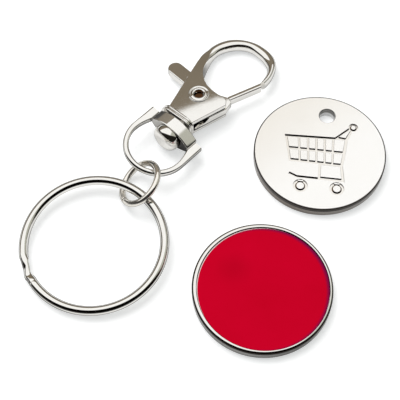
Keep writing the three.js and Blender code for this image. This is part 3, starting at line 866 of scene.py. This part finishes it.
# Swivel yoke
# A nickel-plated casting: a D-shaped frame with an arched collar across its flat side.
# The rivet's shank runs through the collar, so the yoke turns freely; its bow carries the jump ring.
YOKE_ROLL = math.radians(5.6)
YOKE_HALF = 0.65
YOKE_FRONT = -7.5
YOKE_REAR = COLLAR_FRONT - COLLAR_LENGTH
YOKE_HALF_WIDTH = 6.0
LEG_WIDTH = 1.75
LEG_POWER = 4.6
LEG_SPANS = 8
BOW_MIDDLE = -12.55
BOW_WIDTH = 1.05
BOW_POWER_DROP = 2.5
BOW_SPANS = 64
COLLAR_HALF_CHORD = 4.35
COLLAR_HALF_HEIGHT = 2.3
COLLAR_EDGE = 0.62
COLLAR_STEPS = 32
COLLAR_ROUND = 0.24
SHANK_HOLE_RADIUS = 1.45
SHANK_HOLE_REACH = 2.0


def leg_section(x, side, width):
    """One leg's section at x, on the side 1 or -1."""
    outside = Vector((x, side * YOKE_HALF_WIDTH))
    inside = Vector((x, side * (YOKE_HALF_WIDTH - width)))
    return full_section(inside, outside, YOKE_HALF, LEG_POWER)


legs = [(YOKE_FRONT, LEG_WIDTH)]
for i in range(LEG_SPANS):
    share = i / LEG_SPANS
    x = YOKE_REAR + (BOW_MIDDLE - YOKE_REAR) * share
    legs.append((x, LEG_WIDTH + (BOW_WIDTH - LEG_WIDTH) * math.sin(math.pi / 2 * share)))
yoke_rings = [leg_section(x, 1, width) for x, width in legs]
for i in range(BOW_SPANS + 1):
    angle = math.pi / 2 + math.pi * i / BOW_SPANS
    way = Vector((math.cos(angle), math.sin(angle)))
    outside = Vector((BOW_MIDDLE, 0.0)) + way * YOKE_HALF_WIDTH
    inside = Vector((BOW_MIDDLE, 0.0)) + way * (YOKE_HALF_WIDTH - BOW_WIDTH)
    power = LEG_POWER - BOW_POWER_DROP * math.sin(math.pi * i / BOW_SPANS) ** 0.5
    yoke_rings.append(full_section(inside, outside, YOKE_HALF, power))
yoke_rings += [leg_section(x, -1, width) for x, width in reversed(legs)]
yoke = lofted("yoke_piece", yoke_rings)

collar_outline = []
for side in (1, -1):
    for i in range(COLLAR_STEPS + 1):
        share = 1 - 2 * i / COLLAR_STEPS
        height = COLLAR_EDGE + (COLLAR_HALF_HEIGHT - COLLAR_EDGE) * (1 - share * share)
        collar_outline.append((side * share * COLLAR_HALF_CHORD, side * height))
collar = prism("yoke_collar", collar_outline, -COLLAR_LENGTH / 2, COLLAR_LENGTH / 2)
round_edges(collar, COLLAR_ROUND, segments=4)
shank_hole = drill("shank_hole", SHANK_HOLE_RADIUS, -SHANK_HOLE_REACH, SHANK_HOLE_REACH)
cut_or_join(collar, shank_hole, "DIFFERENCE")
face_along = Matrix.Rotation(math.radians(90.0), 4, "Z") @ Matrix.Rotation(math.radians(90.0), 4, "X")
collar.data.transform(Matrix.Translation((COLLAR_FRONT - COLLAR_LENGTH / 2, 0.0, 0.0)) @ face_along)
smooth_metal(yoke)
smooth_metal(collar)

BOW_RIM_DARK = (0.4, 0.72, 0.85)
TOWARDS_BOW = (-0.674, -0.736, 0.061)
END_FACE_FROM = (0.88, 0.97)
TOWARDS_NEAR_SIDE = (0.736, -0.674, 0.0)
NEAR_SIDE_FROM = (-0.0126, -0.0112)
# Near-black painted shade for the collar's end face.
PAINTED_SHADE_BLACK = (0.02, 0.017, 0.014)


def colour_so_far(tree):
    """What feeds a finish's colour, for more to be laid over it."""
    return tree.nodes["Principled BSDF"].inputs["Base Color"].links[0].from_socket


# The bow's finish carries a strong painted dark reflection on its near flanks.
bow_nickel = polished_metal("bow_nickel", BOW_RIM_DARK, painted_flank_dark=0.9)
collar_nickel = polished_metal("collar_nickel", BOW_RIM_DARK)
tree = collar_nickel.node_tree
shader = tree.nodes["Principled BSDF"]
shader.inputs["Metallic"].default_value = 0.93
# Painted shade: the collar's end face that looks towards the bow, on the near side, is blended to near black
# for the shadow it lies in.
on_yoke = tree.nodes.new("ShaderNodeTexCoord").outputs
faces_bow = measured(tree, "DOT_PRODUCT", on_yoke["Normal"], TOWARDS_BOW)
nearness = measured(tree, "DOT_PRODUCT", on_yoke["Object"], TOWARDS_NEAR_SIDE)
near_side = mapped(tree, nearness, *NEAR_SIDE_FROM)
shaded_end = worked(tree, "MULTIPLY", mapped(tree, faces_bow, *END_FACE_FROM), near_side)
tree.links.new(blended(tree, shaded_end, colour_so_far(tree), PAINTED_SHADE_BLACK), shader.inputs["Base Color"])
yoke.data.materials.append(bow_nickel)
collar.data.materials.clear()
collar.data.materials.append(collar_nickel)
merge(yoke, [collar])
put_in_place(yoke, clasp_place(YOKE_ROLL, False))
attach(yoke, "yoke")
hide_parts("swivel_yoke")

# Jump ring
# Round steel wire with nickel plating, bent to a ring through the yoke's bow and the split ring.
# Its ends meet in a fine seam on the near left side.
JUMP_CENTER = beside_aim(-10.34, 1.61, 3.04)
JUMP_WIRE = 1.142
JUMP_ACROSS = 9.06
JUMP_RADIUS = (JUMP_ACROSS - JUMP_WIRE) / 2
JUMP_TILT = math.radians(38.6)
JUMP_RISE_TOWARDS = math.radians(-9.0)
JUMP_SEAM = math.radians(215.0)
JUMP_SEAM_HALF = 0.02
JUMP_END_INSET = 0.09
JUMP_SPANS = 120
JUMP_POINTS = 24
DRAWN_WIRE_CORNER = 60.0


def flat_place(middle, tilt=Matrix.Identity(4)):
    """Where a piece drawn flat round its own middle goes, in millimetres."""
    return Matrix.Scale(MM, 4) @ Matrix.Translation(middle) @ tilt


def tilt_up(towards, tilt):
    """The turn that lifts a flat ring's side that lies towards an angle."""
    hinge = Vector((-math.sin(towards), math.cos(towards), 0.0))
    return Matrix.Rotation(-tilt, 4, hinge)


jump_rings = []
for i in range(JUMP_SPANS + 1):
    angle = JUMP_SEAM + JUMP_SEAM_HALF + (2 * math.pi - 2 * JUMP_SEAM_HALF) * i / JUMP_SPANS
    wire = JUMP_WIRE / 2
    if i in (0, JUMP_SPANS):
        wire -= JUMP_END_INSET
    ring = []
    for j in range(JUMP_POINTS):
        turn = 2 * math.pi * j / JUMP_POINTS
        radius = JUMP_RADIUS + wire * math.cos(turn)
        ring.append((radius * math.cos(angle), radius * math.sin(angle), wire * math.sin(turn)))
    jump_rings.append(ring)
jump_ring = lofted("jump_ring_piece", jump_rings)
smooth_metal(jump_ring, DRAWN_WIRE_CORNER)
put_in_place(jump_ring, flat_place(JUMP_CENTER, tilt_up(JUMP_RISE_TOWARDS, JUMP_TILT)))
WIRE_TINT = (0.98, 0.945, 0.885)
WIRE_DULL = (0.92, 0.88, 0.81)
# The jump ring's finish carries a light painted dark reflection on its near flanks.
jump_nickel = plated_metal("jump_nickel", WIRE_TINT, WIRE_DULL, rough=(0.04, 0.08),
                           relief=POLISHED_RELIEF, painted_grazing_dark=(0.5, 0.85, 0.75), painted_flank_dark=0.3)
jump_nickel.node_tree.nodes["Principled BSDF"].inputs["Metallic"].default_value = 0.92
jump_ring.data.materials.append(jump_nickel)
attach(jump_ring, "jump_ring")
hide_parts("jump_ring")

# Split ring
# Flattened spring wire with polished plating, wound in two turns that lie on each other.
# The wire twists over in a short step where the turns change places, between its two cut ends.
SPLIT_CENTER = beside_aim(-17.75, -9.35, 1.79)
SPLIT_RISE_TOWARDS = math.radians(56.0)
SPLIT_TILT = math.radians(3.4)
SPLIT_WIDTH = 1.58
SPLIT_HEIGHT = 0.98
SPLIT_ACROSS = 25.3
SPLIT_RADIUS = (SPLIT_ACROSS - SPLIT_WIDTH) / 2
TURNS_GAP = 0.1
SPLIT_DROP = SPLIT_HEIGHT + TURNS_GAP
SPLIT_SEAT = 0.44
SPLIT_TWIST = math.radians(54.0)
SPLIT_END_INSET = 0.08
SPLIT_END_GAP = 0.45
SPLIT_SPANS = 480
SPLIT_POINTS = 28
STEP_FROM = math.radians(190.0)
STEP_TO = math.radians(213.0)
TWIST_IN_SHARE = 0.3
TWIST_OUT_SHARE = 0.25
TWIST_END_SHARE = 0.95
end_turn = SPLIT_END_GAP / SPLIT_RADIUS
split_from = STEP_TO + end_turn
split_to = STEP_FROM + 4 * math.pi - end_turn
split_rings = []
for i in range(SPLIT_SPANS + 1):
    angle = split_from + (split_to - split_from) * i / SPLIT_SPANS
    along_step = (angle - STEP_FROM - 2 * math.pi) / (STEP_TO - STEP_FROM)
    along_step = min(max(along_step, 0.0), 1.0)
    height = SPLIT_DROP / 2 - SPLIT_DROP * eased(along_step)
    end_inset = SPLIT_END_INSET if i in (0, SPLIT_SPANS) else 0.0
    twist_in = along_step / TWIST_IN_SHARE
    twist_out = (TWIST_END_SHARE - along_step) / TWIST_OUT_SHARE
    twist = eased(min(twist_in, twist_out)) * SPLIT_TWIST
    seat = SPLIT_SEAT * (1.0 - 2.0 * along_step)
    ring = []
    for j in range(SPLIT_POINTS):
        turn = 2 * math.pi * j / SPLIT_POINTS
        c = math.cos(turn)
        s = math.sin(turn)
        x = (SPLIT_WIDTH / 2 - end_inset) * c
        # Known fault: copysign drops the sign of seat, so the lower turn isn't turned over and lies
        # 0.9 mm too high, inside the upper turn. The sign of s * seat would turn it over.
        z = (SPLIT_HEIGHT / 2 + math.copysign(seat, s) - end_inset) * s - seat
        radius = SPLIT_RADIUS + x * math.cos(twist) + z * math.sin(twist)
        high = z * math.cos(twist) - x * math.sin(twist)
        ring.append((radius * math.cos(angle), radius * math.sin(angle), height + high))
    split_rings.append(ring)
split_ring = lofted("split_ring_piece", split_rings)
smooth_metal(split_ring, DRAWN_WIRE_CORNER)
put_in_place(split_ring, flat_place(SPLIT_CENTER, tilt_up(SPLIT_RISE_TOWARDS, SPLIT_TILT)))
# The split ring's finish carries a strong painted dark reflection on its near flanks.
polished_nickel = polished_metal("polished_nickel", BOW_RIM_DARK, painted_flank_dark=0.95)
split_ring.data.materials.append(polished_nickel)
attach(split_ring, "split_ring")
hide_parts("split_ring")

# Cart coin
# A stamped steel disc with satin nickel plating, a punched hole and a line drawing of a shopping cart.
# The drawing is pressed in with soft walls; the disc's rim is slightly rounded.
CART_COIN_PLACE = beside_aim(21.08, 8.57)
COIN_RADIUS = 11.625
COIN_THICKNESS = 2.1
COIN_SIDES = 160
COIN_LOWER_EDGE = [
    (0.225, 0.0),
    (0.065, 0.05),
    (0.0, 0.2),
]
COIN_UPPER_EDGE = [
    (0.0, 0.18),
    (0.02, 0.1),
    (0.065, 0.04),
    (0.125, 0.01),
    (0.195, 0.0),
]
COIN_HOLE_PLACE = (1.75, 7.47)
COIN_HOLE_RADIUS = 1.42
COIN_HOLE_EDGE = 0.1
CUTTERS_TOP = 3.0
coin_rings = [round_row(COIN_RADIUS - inset, height, COIN_SIDES) for inset, height in COIN_LOWER_EDGE]
for inset, depth in COIN_UPPER_EDGE:
    coin_rings.append(round_row(COIN_RADIUS - inset, COIN_THICKNESS - depth, COIN_SIDES))
cart_coin = lofted("cart_coin", coin_rings)
HOLE_PROFILE = [
    (0.0, -1.0),
    (COIN_HOLE_RADIUS, -1.0),
    (COIN_HOLE_RADIUS, COIN_THICKNESS - COIN_HOLE_EDGE),
    (COIN_HOLE_RADIUS + COIN_HOLE_EDGE, COIN_THICKNESS),
    (COIN_HOLE_RADIUS + COIN_HOLE_EDGE, CUTTERS_TOP),
    (0.0, CUTTERS_TOP),
]
hole_tool = lathed("hole_tool", HOLE_PROFILE, sides=64)
hole_tool.data.transform(Matrix.Translation((*COIN_HOLE_PLACE, 0.0)))
cut_or_join(cart_coin, hole_tool, "DIFFERENCE")

GROOVE_DEPTH = 0.24
GROOVE_FLOOR = COIN_THICKNESS - GROOVE_DEPTH
GROOVE_HALF = 0.16
LOWER_GROOVE_SHARE = 0.9
WALL_RUN = 0.24
WALL_FACES_NEAR = 0.6
CART_TURN = math.radians(-6.0)
CART_MIDDLE = Vector((0.05, -0.52))
CART_FRAME = [
    (-5.34, -4.5),
    (-3.97, -5.12),
    (4.44, -5.28),
    (4.03, -2.0),
    (4.43, 0.48),
    (4.68, 3.2),
    (5.5, 5.45),
    (4.9, 6.02),
    (2.45, 3.72),
    (-6.46, 3.52),
    (-5.4, -1.92),
    (-0.22, -2.08),
    (-0.22, -4.75),
    (-3.83, -4.68),
    (-5.16, -4.1),
]
CART_FACES = [
    [(3.03, 3.66), (4.31, 3.5), (5.15, 5.5), (5.0, 5.63)],
    [(0.22, -2.14), (0.22, -4.8), (3.92, -4.86), (3.58, -2.23)],
]
WHEELS_ACROSS = (-3.15, 3.15)
WHEELS_MIDDLE = -6.7
FORK_HALF = 0.5
FORK_TOP = -5.5
FORK_FOOT = -6.05
# Each ring's middle, outer radius and inner radius: the handle's grip, then the wheels.
CART_RINGS = [((5.6, 6.1), 0.82, 0.62)]
for across in WHEELS_ACROSS:
    left = across - FORK_HALF
    right = across + FORK_HALF
    CART_FACES.append([(left, FORK_TOP), (left, FORK_FOOT), (right, FORK_FOOT), (right, FORK_TOP)])
    CART_RINGS.append(((across, WHEELS_MIDDLE), 1.28, 0.87))
RING_WALL_RUN = 0.22
# Each upright's place at the basket's top and foot, and each rail's height and slope.
UPRIGHTS = [(-6.2, -5.2), (-3.95, -3.5), (-2.35, -2.0), (-0.85, -0.6), (0.65, 0.85), (2.15, 2.2), (4.4, 3.8)]
RAILS = [(3.41, 0.022), (0.6, -0.02), (-1.87, -0.033)]
RAILS_SPREAD = RAILS[0][0] - RAILS[2][0]
for left, right in zip(UPRIGHTS, UPRIGHTS[1:]):
    for row in (0, 1):
        half = GROOVE_HALF * (LOWER_GROOVE_SHARE if row else 1.0)
        across = sum(left + right) / 4
        high = RAILS[row][0] + RAILS[row][1] * across - half
        low = RAILS[row + 1][0] + RAILS[row + 1][1] * across + half
        corners = []
        for (top, foot), inset, ys in ((left, half, (high, low)), (right, -half, (low, high))):
            for y in ys:
                down = (RAILS[0][0] - y) / RAILS_SPREAD
                corners.append((top + (foot - top) * down + inset, y))
        CART_FACES.append(corners)


def on_coin(outline):
    """Turns and moves a part of the cart's drawing to its place on the coin."""
    turn = Matrix.Rotation(CART_TURN, 2)
    return [tuple(turn @ Vector(p) + CART_MIDDLE) for p in outline]


def wall_shifts(outline, side):
    """How far each corner lies back, so that walls which face the near side slope."""
    area = sum(a[0] * b[1] - a[1] * b[0] for a, b in zip(outline, outline[1:] + outline[:1]))
    shifts = []
    for i in range(len(outline)):
        run = 0.0
        for a, b in ((outline[i - 1], outline[i]), (outline[i], outline[(i + 1) % len(outline)])):
            length = math.hypot(b[0] - a[0], b[1] - a[1])
            up = -(b[0] - a[0]) / length * math.copysign(1.0, area)
            if up * side > WALL_FACES_NEAR:
                run = WALL_RUN
        shifts.append(run)
    return shifts


def sloped_block(name, outline, low, high, side):
    """A block whose near-side walls slope; side 1 for a cut, -1 for a raised face."""
    shifts = wall_shifts(outline, side)
    moved = [(x, y - run * side) for (x, y), run in zip(outline, shifts)]
    floor = moved if side > 0 else outline
    top = outline if side > 0 else moved
    rings = [[(x, y, low) for x, y in floor], [(x, y, COIN_THICKNESS) for x, y in top]]
    if high > COIN_THICKNESS:
        rings.append([(x, y, high) for x, y in top])
    return lofted(name, rings)


pocket = sloped_block("cart_pocket", on_coin(CART_FRAME), GROOVE_FLOOR, CUTTERS_TOP, 1)
cut_or_join(cart_coin, pocket, "DIFFERENCE")
for middle, outer, inner in CART_RINGS:
    ring_profile = [
        (inner - RING_WALL_RUN, CUTTERS_TOP),
        (inner - RING_WALL_RUN, COIN_THICKNESS),
        (inner, GROOVE_FLOOR),
        (outer, GROOVE_FLOOR),
        (outer, CUTTERS_TOP),
    ]
    ring_tool = lathed("ring_tool", ring_profile, sides=48)
    ring_tool.data.transform(Matrix.Translation((*on_coin([middle])[0], 0.0)))
    cut_or_join(cart_coin, ring_tool, "DIFFERENCE")
STAMPED_CORNER = 30.0
SATIN_CORNER = 25.0
CUT_EDGE = 0.045
FACE_EDGE = 0.085
FACE_SUNK = 0.1
FACE_ROOT = GROOVE_FLOOR - FACE_SUNK
round_edges(cart_coin, CUT_EDGE, segments=2, angle=STAMPED_CORNER)
smooth_metal(cart_coin, SATIN_CORNER)
cart_faces = []
for outline in CART_FACES:
    face = sloped_block("cart_face", on_coin(outline), FACE_ROOT, COIN_THICKNESS, -1)
    round_edges(face, FACE_EDGE, segments=2, angle=STAMPED_CORNER)
    smooth_metal(face, SATIN_CORNER)
    cart_faces.append(face)
merge(cart_coin, cart_faces)
put_in_place(cart_coin, flat_place(CART_COIN_PLACE))

# Masks on the coin: how far a face tips over, how high it lies, and how far from a middle, in metres.
WALL_TIPS = (0.975, 0.9)
WALL_TURNS_RIGHT = (-0.5, 0.9)
WALL_SHADED_LEFT = (0.25, 0.215, 0.185)
WALL_LIT_RIGHT = (0.62, 0.59, 0.56)
UPPER_EDGE_HEIGHT = (0.00125, 0.0014)
UPPER_EDGE_DARK_REFLECTION = (0.04, 0.033, 0.028)
GROOVE_WALL_TURNS = (-0.55, -0.25)
GROOVE_WALL_SHADE = (0.17, 0.125, 0.085)
SHADED_FLOOR_HEIGHT = (0.00195, 0.0019)
FLOOR_SHADE_TINT = (0.93, 0.91, 0.875)
HOLE_REACH = 0.0021
HOLE_DEPTH = (0.0012, 0.0008)
HOLE_SHADE_GREY = (0.24, 0.235, 0.22)
DRAWING_REACH = 0.011
OUTER_EDGE_FROM = (0.01134, 0.01144)
DARKER_SIDE = (-0.6, 0.8, 0.0)
DARKER_SIDE_RUN = (-0.0115, 0.0055)
DARKER_SIDE_TINT = (0.9, 0.875, 0.835)
SATIN_METALLIC = 0.88
SATIN_TINT = (1.0, 0.99, 0.975)
SATIN_DULL = (0.97, 0.955, 0.93)
satin_nickel = plated_metal("satin_nickel", SATIN_TINT, SATIN_DULL, rough=(0.12, 0.2), grain=4000.0)
tree = satin_nickel.node_tree
shader = tree.nodes["Principled BSDF"]
normal = split_axes(tree, tree.nodes.new("ShaderNodeNewGeometry").outputs["Normal"])
place = tree.nodes.new("ShaderNodeTexCoord").outputs["Object"]
height = split_axes(tree, place)["Z"]
hole_middle = (CART_COIN_PLACE + Vector((*COIN_HOLE_PLACE, COIN_THICKNESS / 2))) * MM
face_middle = (CART_COIN_PLACE + Vector((0.0, 0.0, COIN_THICKNESS))) * MM
from_hole = measured(tree, "DISTANCE", place, hole_middle)
from_middle = measured(tree, "DISTANCE", place, face_middle)
in_hole = worked(tree, "LESS_THAN", from_hole, HOLE_REACH)
in_drawing = worked(tree, "LESS_THAN", from_middle, DRAWING_REACH)
wall = mapped(tree, normal["Z"], *WALL_TIPS)
groove_wall = worked(tree, "MULTIPLY", mapped(tree, normal["Y"], *GROOVE_WALL_TURNS), in_drawing)

# Painted light and shade on the coin's side walls: a dark painted reflection, shaded darker on the left and
# lit lighter on the right, with a near-black painted reflection along their upper edge.
lit_wall = mapped(tree, normal["X"], *WALL_TURNS_RIGHT, soft=False)
wall_colour = blended(tree, lit_wall, WALL_SHADED_LEFT, WALL_LIT_RIGHT)
wall_colour = blended(tree, mapped(tree, height, *UPPER_EDGE_HEIGHT), wall_colour, UPPER_EDGE_DARK_REFLECTION)
# Painted shade: groove walls of the drawing that face the near side turn brown.
wall_colour = blended(tree, groove_wall, wall_colour, GROOVE_WALL_SHADE)
# Painted shade in the punched hole: grey on its upper wall, running to painted white lower down.
hole_colour = blended(tree, mapped(tree, height, *HOLE_DEPTH), HOLE_SHADE_GREY, WHITE)
wall_colour = blended(tree, in_hole, wall_colour, hole_colour)

# The face is tinted darker towards its far left side.
towards_darker_side = mapped(tree, measured(tree, "DOT_PRODUCT", place, DARKER_SIDE), *DARKER_SIDE_RUN)
flat_colour = blended(tree, towards_darker_side, colour_so_far(tree), DARKER_SIDE_TINT, "MULTIPLY")
# Painted shade: the drawing's groove floors are tinted a darker tan.
groove_floor = worked(tree, "MULTIPLY", mapped(tree, height, *SHADED_FLOOR_HEIGHT, soft=False), in_drawing)
flat_colour = blended(tree, groove_floor, flat_colour, FLOOR_SHADE_TINT, "MULTIPLY")
# The face's rounded outer edge takes the walls' painted colour too, as a painted dark outline.
wall_or_edge = worked(tree, "MAXIMUM", wall, mapped(tree, from_middle, *OUTER_EDGE_FROM))
tree.links.new(blended(tree, wall_or_edge, flat_colour, wall_colour), shader.inputs["Base Color"])
# These painted shade walls are also made less metallic.
matt_wall = worked(tree, "MULTIPLY", groove_wall, wall)
metal = worked(tree, "SUBTRACT", SATIN_METALLIC, matt_wall, clamp=True)
tree.links.new(metal, shader.inputs["Metallic"])
cart_coin.data.materials.clear()
cart_coin.data.materials.append(satin_nickel)
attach(cart_coin, "cart_coin")
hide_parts("cart_token")

# Red coin
# A polished nickel-plated disc, stamped with a raised round rim and a round recess slightly off centre.
# A disc of smooth red enamel lies in the recess, darker along its upper right edge with painted shade and
# reflection of the rim, and with a painted highlight as a pale line along the rim at its upper left.
RIM_COIN_PLACE = beside_aim(10.24, -17.2)
RIM_OUTER_ROUND = 0.5
RIM_OUTER_STEPS = 12
RIM_INNER_ROUND = 0.12
RIM_INNER_STEPS = 8
RIM_INSIDE = 10.95
RECESS_FLOOR = 1.5
RECESS_OFF_CENTRE = Vector((0.12, -0.12, 0.0))
SHIFT_FROM = 11.25
SHIFT_RUN = 0.3
rim_profile = [(0.0, 0.0)]
rim_profile += [(COIN_RADIUS - inset, height) for inset, height in COIN_LOWER_EDGE]
for i in range(RIM_OUTER_STEPS + 1):
    angle = math.pi / 2 * i / RIM_OUTER_STEPS
    across = COIN_RADIUS - RIM_OUTER_ROUND * (1 - math.cos(angle))
    rim_profile.append((across, COIN_THICKNESS - RIM_OUTER_ROUND * (1 - math.sin(angle))))
for i in range(RIM_INNER_STEPS + 1):
    angle = math.pi / 2 * (1 + i / RIM_INNER_STEPS)
    across = RIM_INSIDE + RIM_INNER_ROUND * (1 + math.cos(angle))
    rim_profile.append((across, COIN_THICKNESS - RIM_INNER_ROUND * (1 - math.sin(angle))))
rim_profile += [(RIM_INSIDE, RECESS_FLOOR), (0.0, RECESS_FLOOR)]
rim_coin = lathed("rim_coin", rim_profile, COIN_SIDES)
smooth_metal(rim_coin)
for corner in rim_coin.data.vertices:
    share = (SHIFT_FROM - math.hypot(corner.co.x, corner.co.y)) / SHIFT_RUN
    corner.co += RECESS_OFF_CENTRE * min(max(share, 0.0), 1.0)
put_in_place(rim_coin, flat_place(RIM_COIN_PLACE))

RIM_TIPS = (0.93, 0.84)
RIM_BAND_HEIGHT = (0.00135, 0.0015)
RIM_BAND_DARK_REFLECTION = (0.025, 0.02, 0.016)
rim_nickel = polished_metal("rim_nickel", painted_grazing_dark=(0.48, 0.78, 0.85))
tree = rim_nickel.node_tree
shader = tree.nodes["Principled BSDF"]
on_rim = tree.nodes.new("ShaderNodeTexCoord").outputs
# Painted dark reflection: a near-black band on the upper part of the rim's outer wall.
turned_out = mapped(tree, split_axes(tree, on_rim["Normal"])["Z"], *RIM_TIPS)
upper_wall = mapped(tree, split_axes(tree, on_rim["Object"])["Z"], *RIM_BAND_HEIGHT)
band = worked(tree, "MULTIPLY", turned_out, upper_wall)
tree.links.new(blended(tree, band, colour_so_far(tree), RIM_BAND_DARK_REFLECTION), shader.inputs["Base Color"])
rim_coin.data.materials.append(rim_nickel)
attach(rim_coin, "rim_coin")
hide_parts("rim_token_body")

ENAMEL_PROFILE = [(0.0, 1.55), (10.85, 1.55), (10.92, 1.6), (10.92, 1.8), (10.85, 1.85), (0.0, 1.85)]
ENAMEL_RED = (0.64, 0.0, 0.024)
ENAMEL_CLOUD = (0.55, 0.0, 0.015)
CLOUD_SCALE = 120.0
GRAIN_SCALE = 5200.0
ENAMEL_SHEEN = 0.015
ENAMEL_SMOOTH = 0.3
ENAMEL_ROUGH = 0.5
ENAMEL_RELIEF = 0.000002
BLOTCH = (0.36, 0.0, 0.008)
BLOTCH_MIDDLE = Vector((-0.0045, 0.0033, 0.0019))
BLOTCH_RUN = (0.004, 0.0)
BLOTCH_SHARE = 0.3
PAINTED_RIM_SHADE = (0.16, 0.004, 0.06)
DARK_EDGE_MIDDLE = Vector((-0.00014, -0.00027, 0.00185))
DARK_EDGE_RUN = (0.0104, 0.0111)
DARK_EDGE_SHARE = 0.9
PAINTED_RIM_HIGHLIGHT = (1.0, 0.78, 0.79)
PALE_EDGE_MIDDLE = Vector((0.00031, -0.00029, 0.00185))
PALE_EDGE_RUN = (0.01096, 0.01103)
red_disc = lathed("red_disc", ENAMEL_PROFILE, COIN_SIDES)
smooth_metal(red_disc)
put_in_place(red_disc, flat_place(RIM_COIN_PLACE + RECESS_OFF_CENTRE))
red_enamel = bpy.data.materials.new("red_enamel")
red_enamel.use_nodes = True
tree = red_enamel.node_tree
shader = tree.nodes["Principled BSDF"]
shader.inputs["Specular IOR Level"].default_value = ENAMEL_SHEEN
place = tree.nodes.new("ShaderNodeTexCoord").outputs["Object"]
enamel_middle = RIM_COIN_PLACE * MM
clouds = noise(tree, place, CLOUD_SCALE, detail=3.0).outputs["Fac"]
colour = blended(tree, clouds, ENAMEL_RED, ENAMEL_CLOUD)
from_blotch = measured(tree, "DISTANCE", place, enamel_middle + BLOTCH_MIDDLE)
colour = blended(tree, mapped(tree, from_blotch, *BLOTCH_RUN, BLOTCH_SHARE), colour, BLOTCH)
# Painted shade and reflection of the rim: a purple-dark band along the enamel's upper right edge.
to_dark_edge = measured(tree, "DISTANCE", place, enamel_middle + DARK_EDGE_MIDDLE)
colour = blended(tree, mapped(tree, to_dark_edge, *DARK_EDGE_RUN, DARK_EDGE_SHARE), colour, PAINTED_RIM_SHADE)
# Painted highlight: a pale line along the rim on the enamel's upper left.
to_pale_edge = measured(tree, "DISTANCE", place, enamel_middle + PALE_EDGE_MIDDLE)
colour = blended(tree, mapped(tree, to_pale_edge, *PALE_EDGE_RUN), colour, PAINTED_RIM_HIGHLIGHT)
tree.links.new(colour, shader.inputs["Base Color"])
grain = noise(tree, place, GRAIN_SCALE, detail=4.0).outputs["Fac"]
rough = mapped(tree, grain, 0.0, 1.0, ENAMEL_ROUGH, ENAMEL_SMOOTH, soft=False)
tree.links.new(rough, shader.inputs["Roughness"])
bump = tree.nodes.new("ShaderNodeBump")
bump.inputs["Distance"].default_value = ENAMEL_RELIEF
tree.links.new(grain, bump.inputs["Height"])
tree.links.new(bump.outputs["Normal"], shader.inputs["Normal"])
red_disc.data.materials.append(red_enamel)
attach(red_disc, "rim_coin")
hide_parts("rim_token_inlay")

bpy.context.view_layer.update()
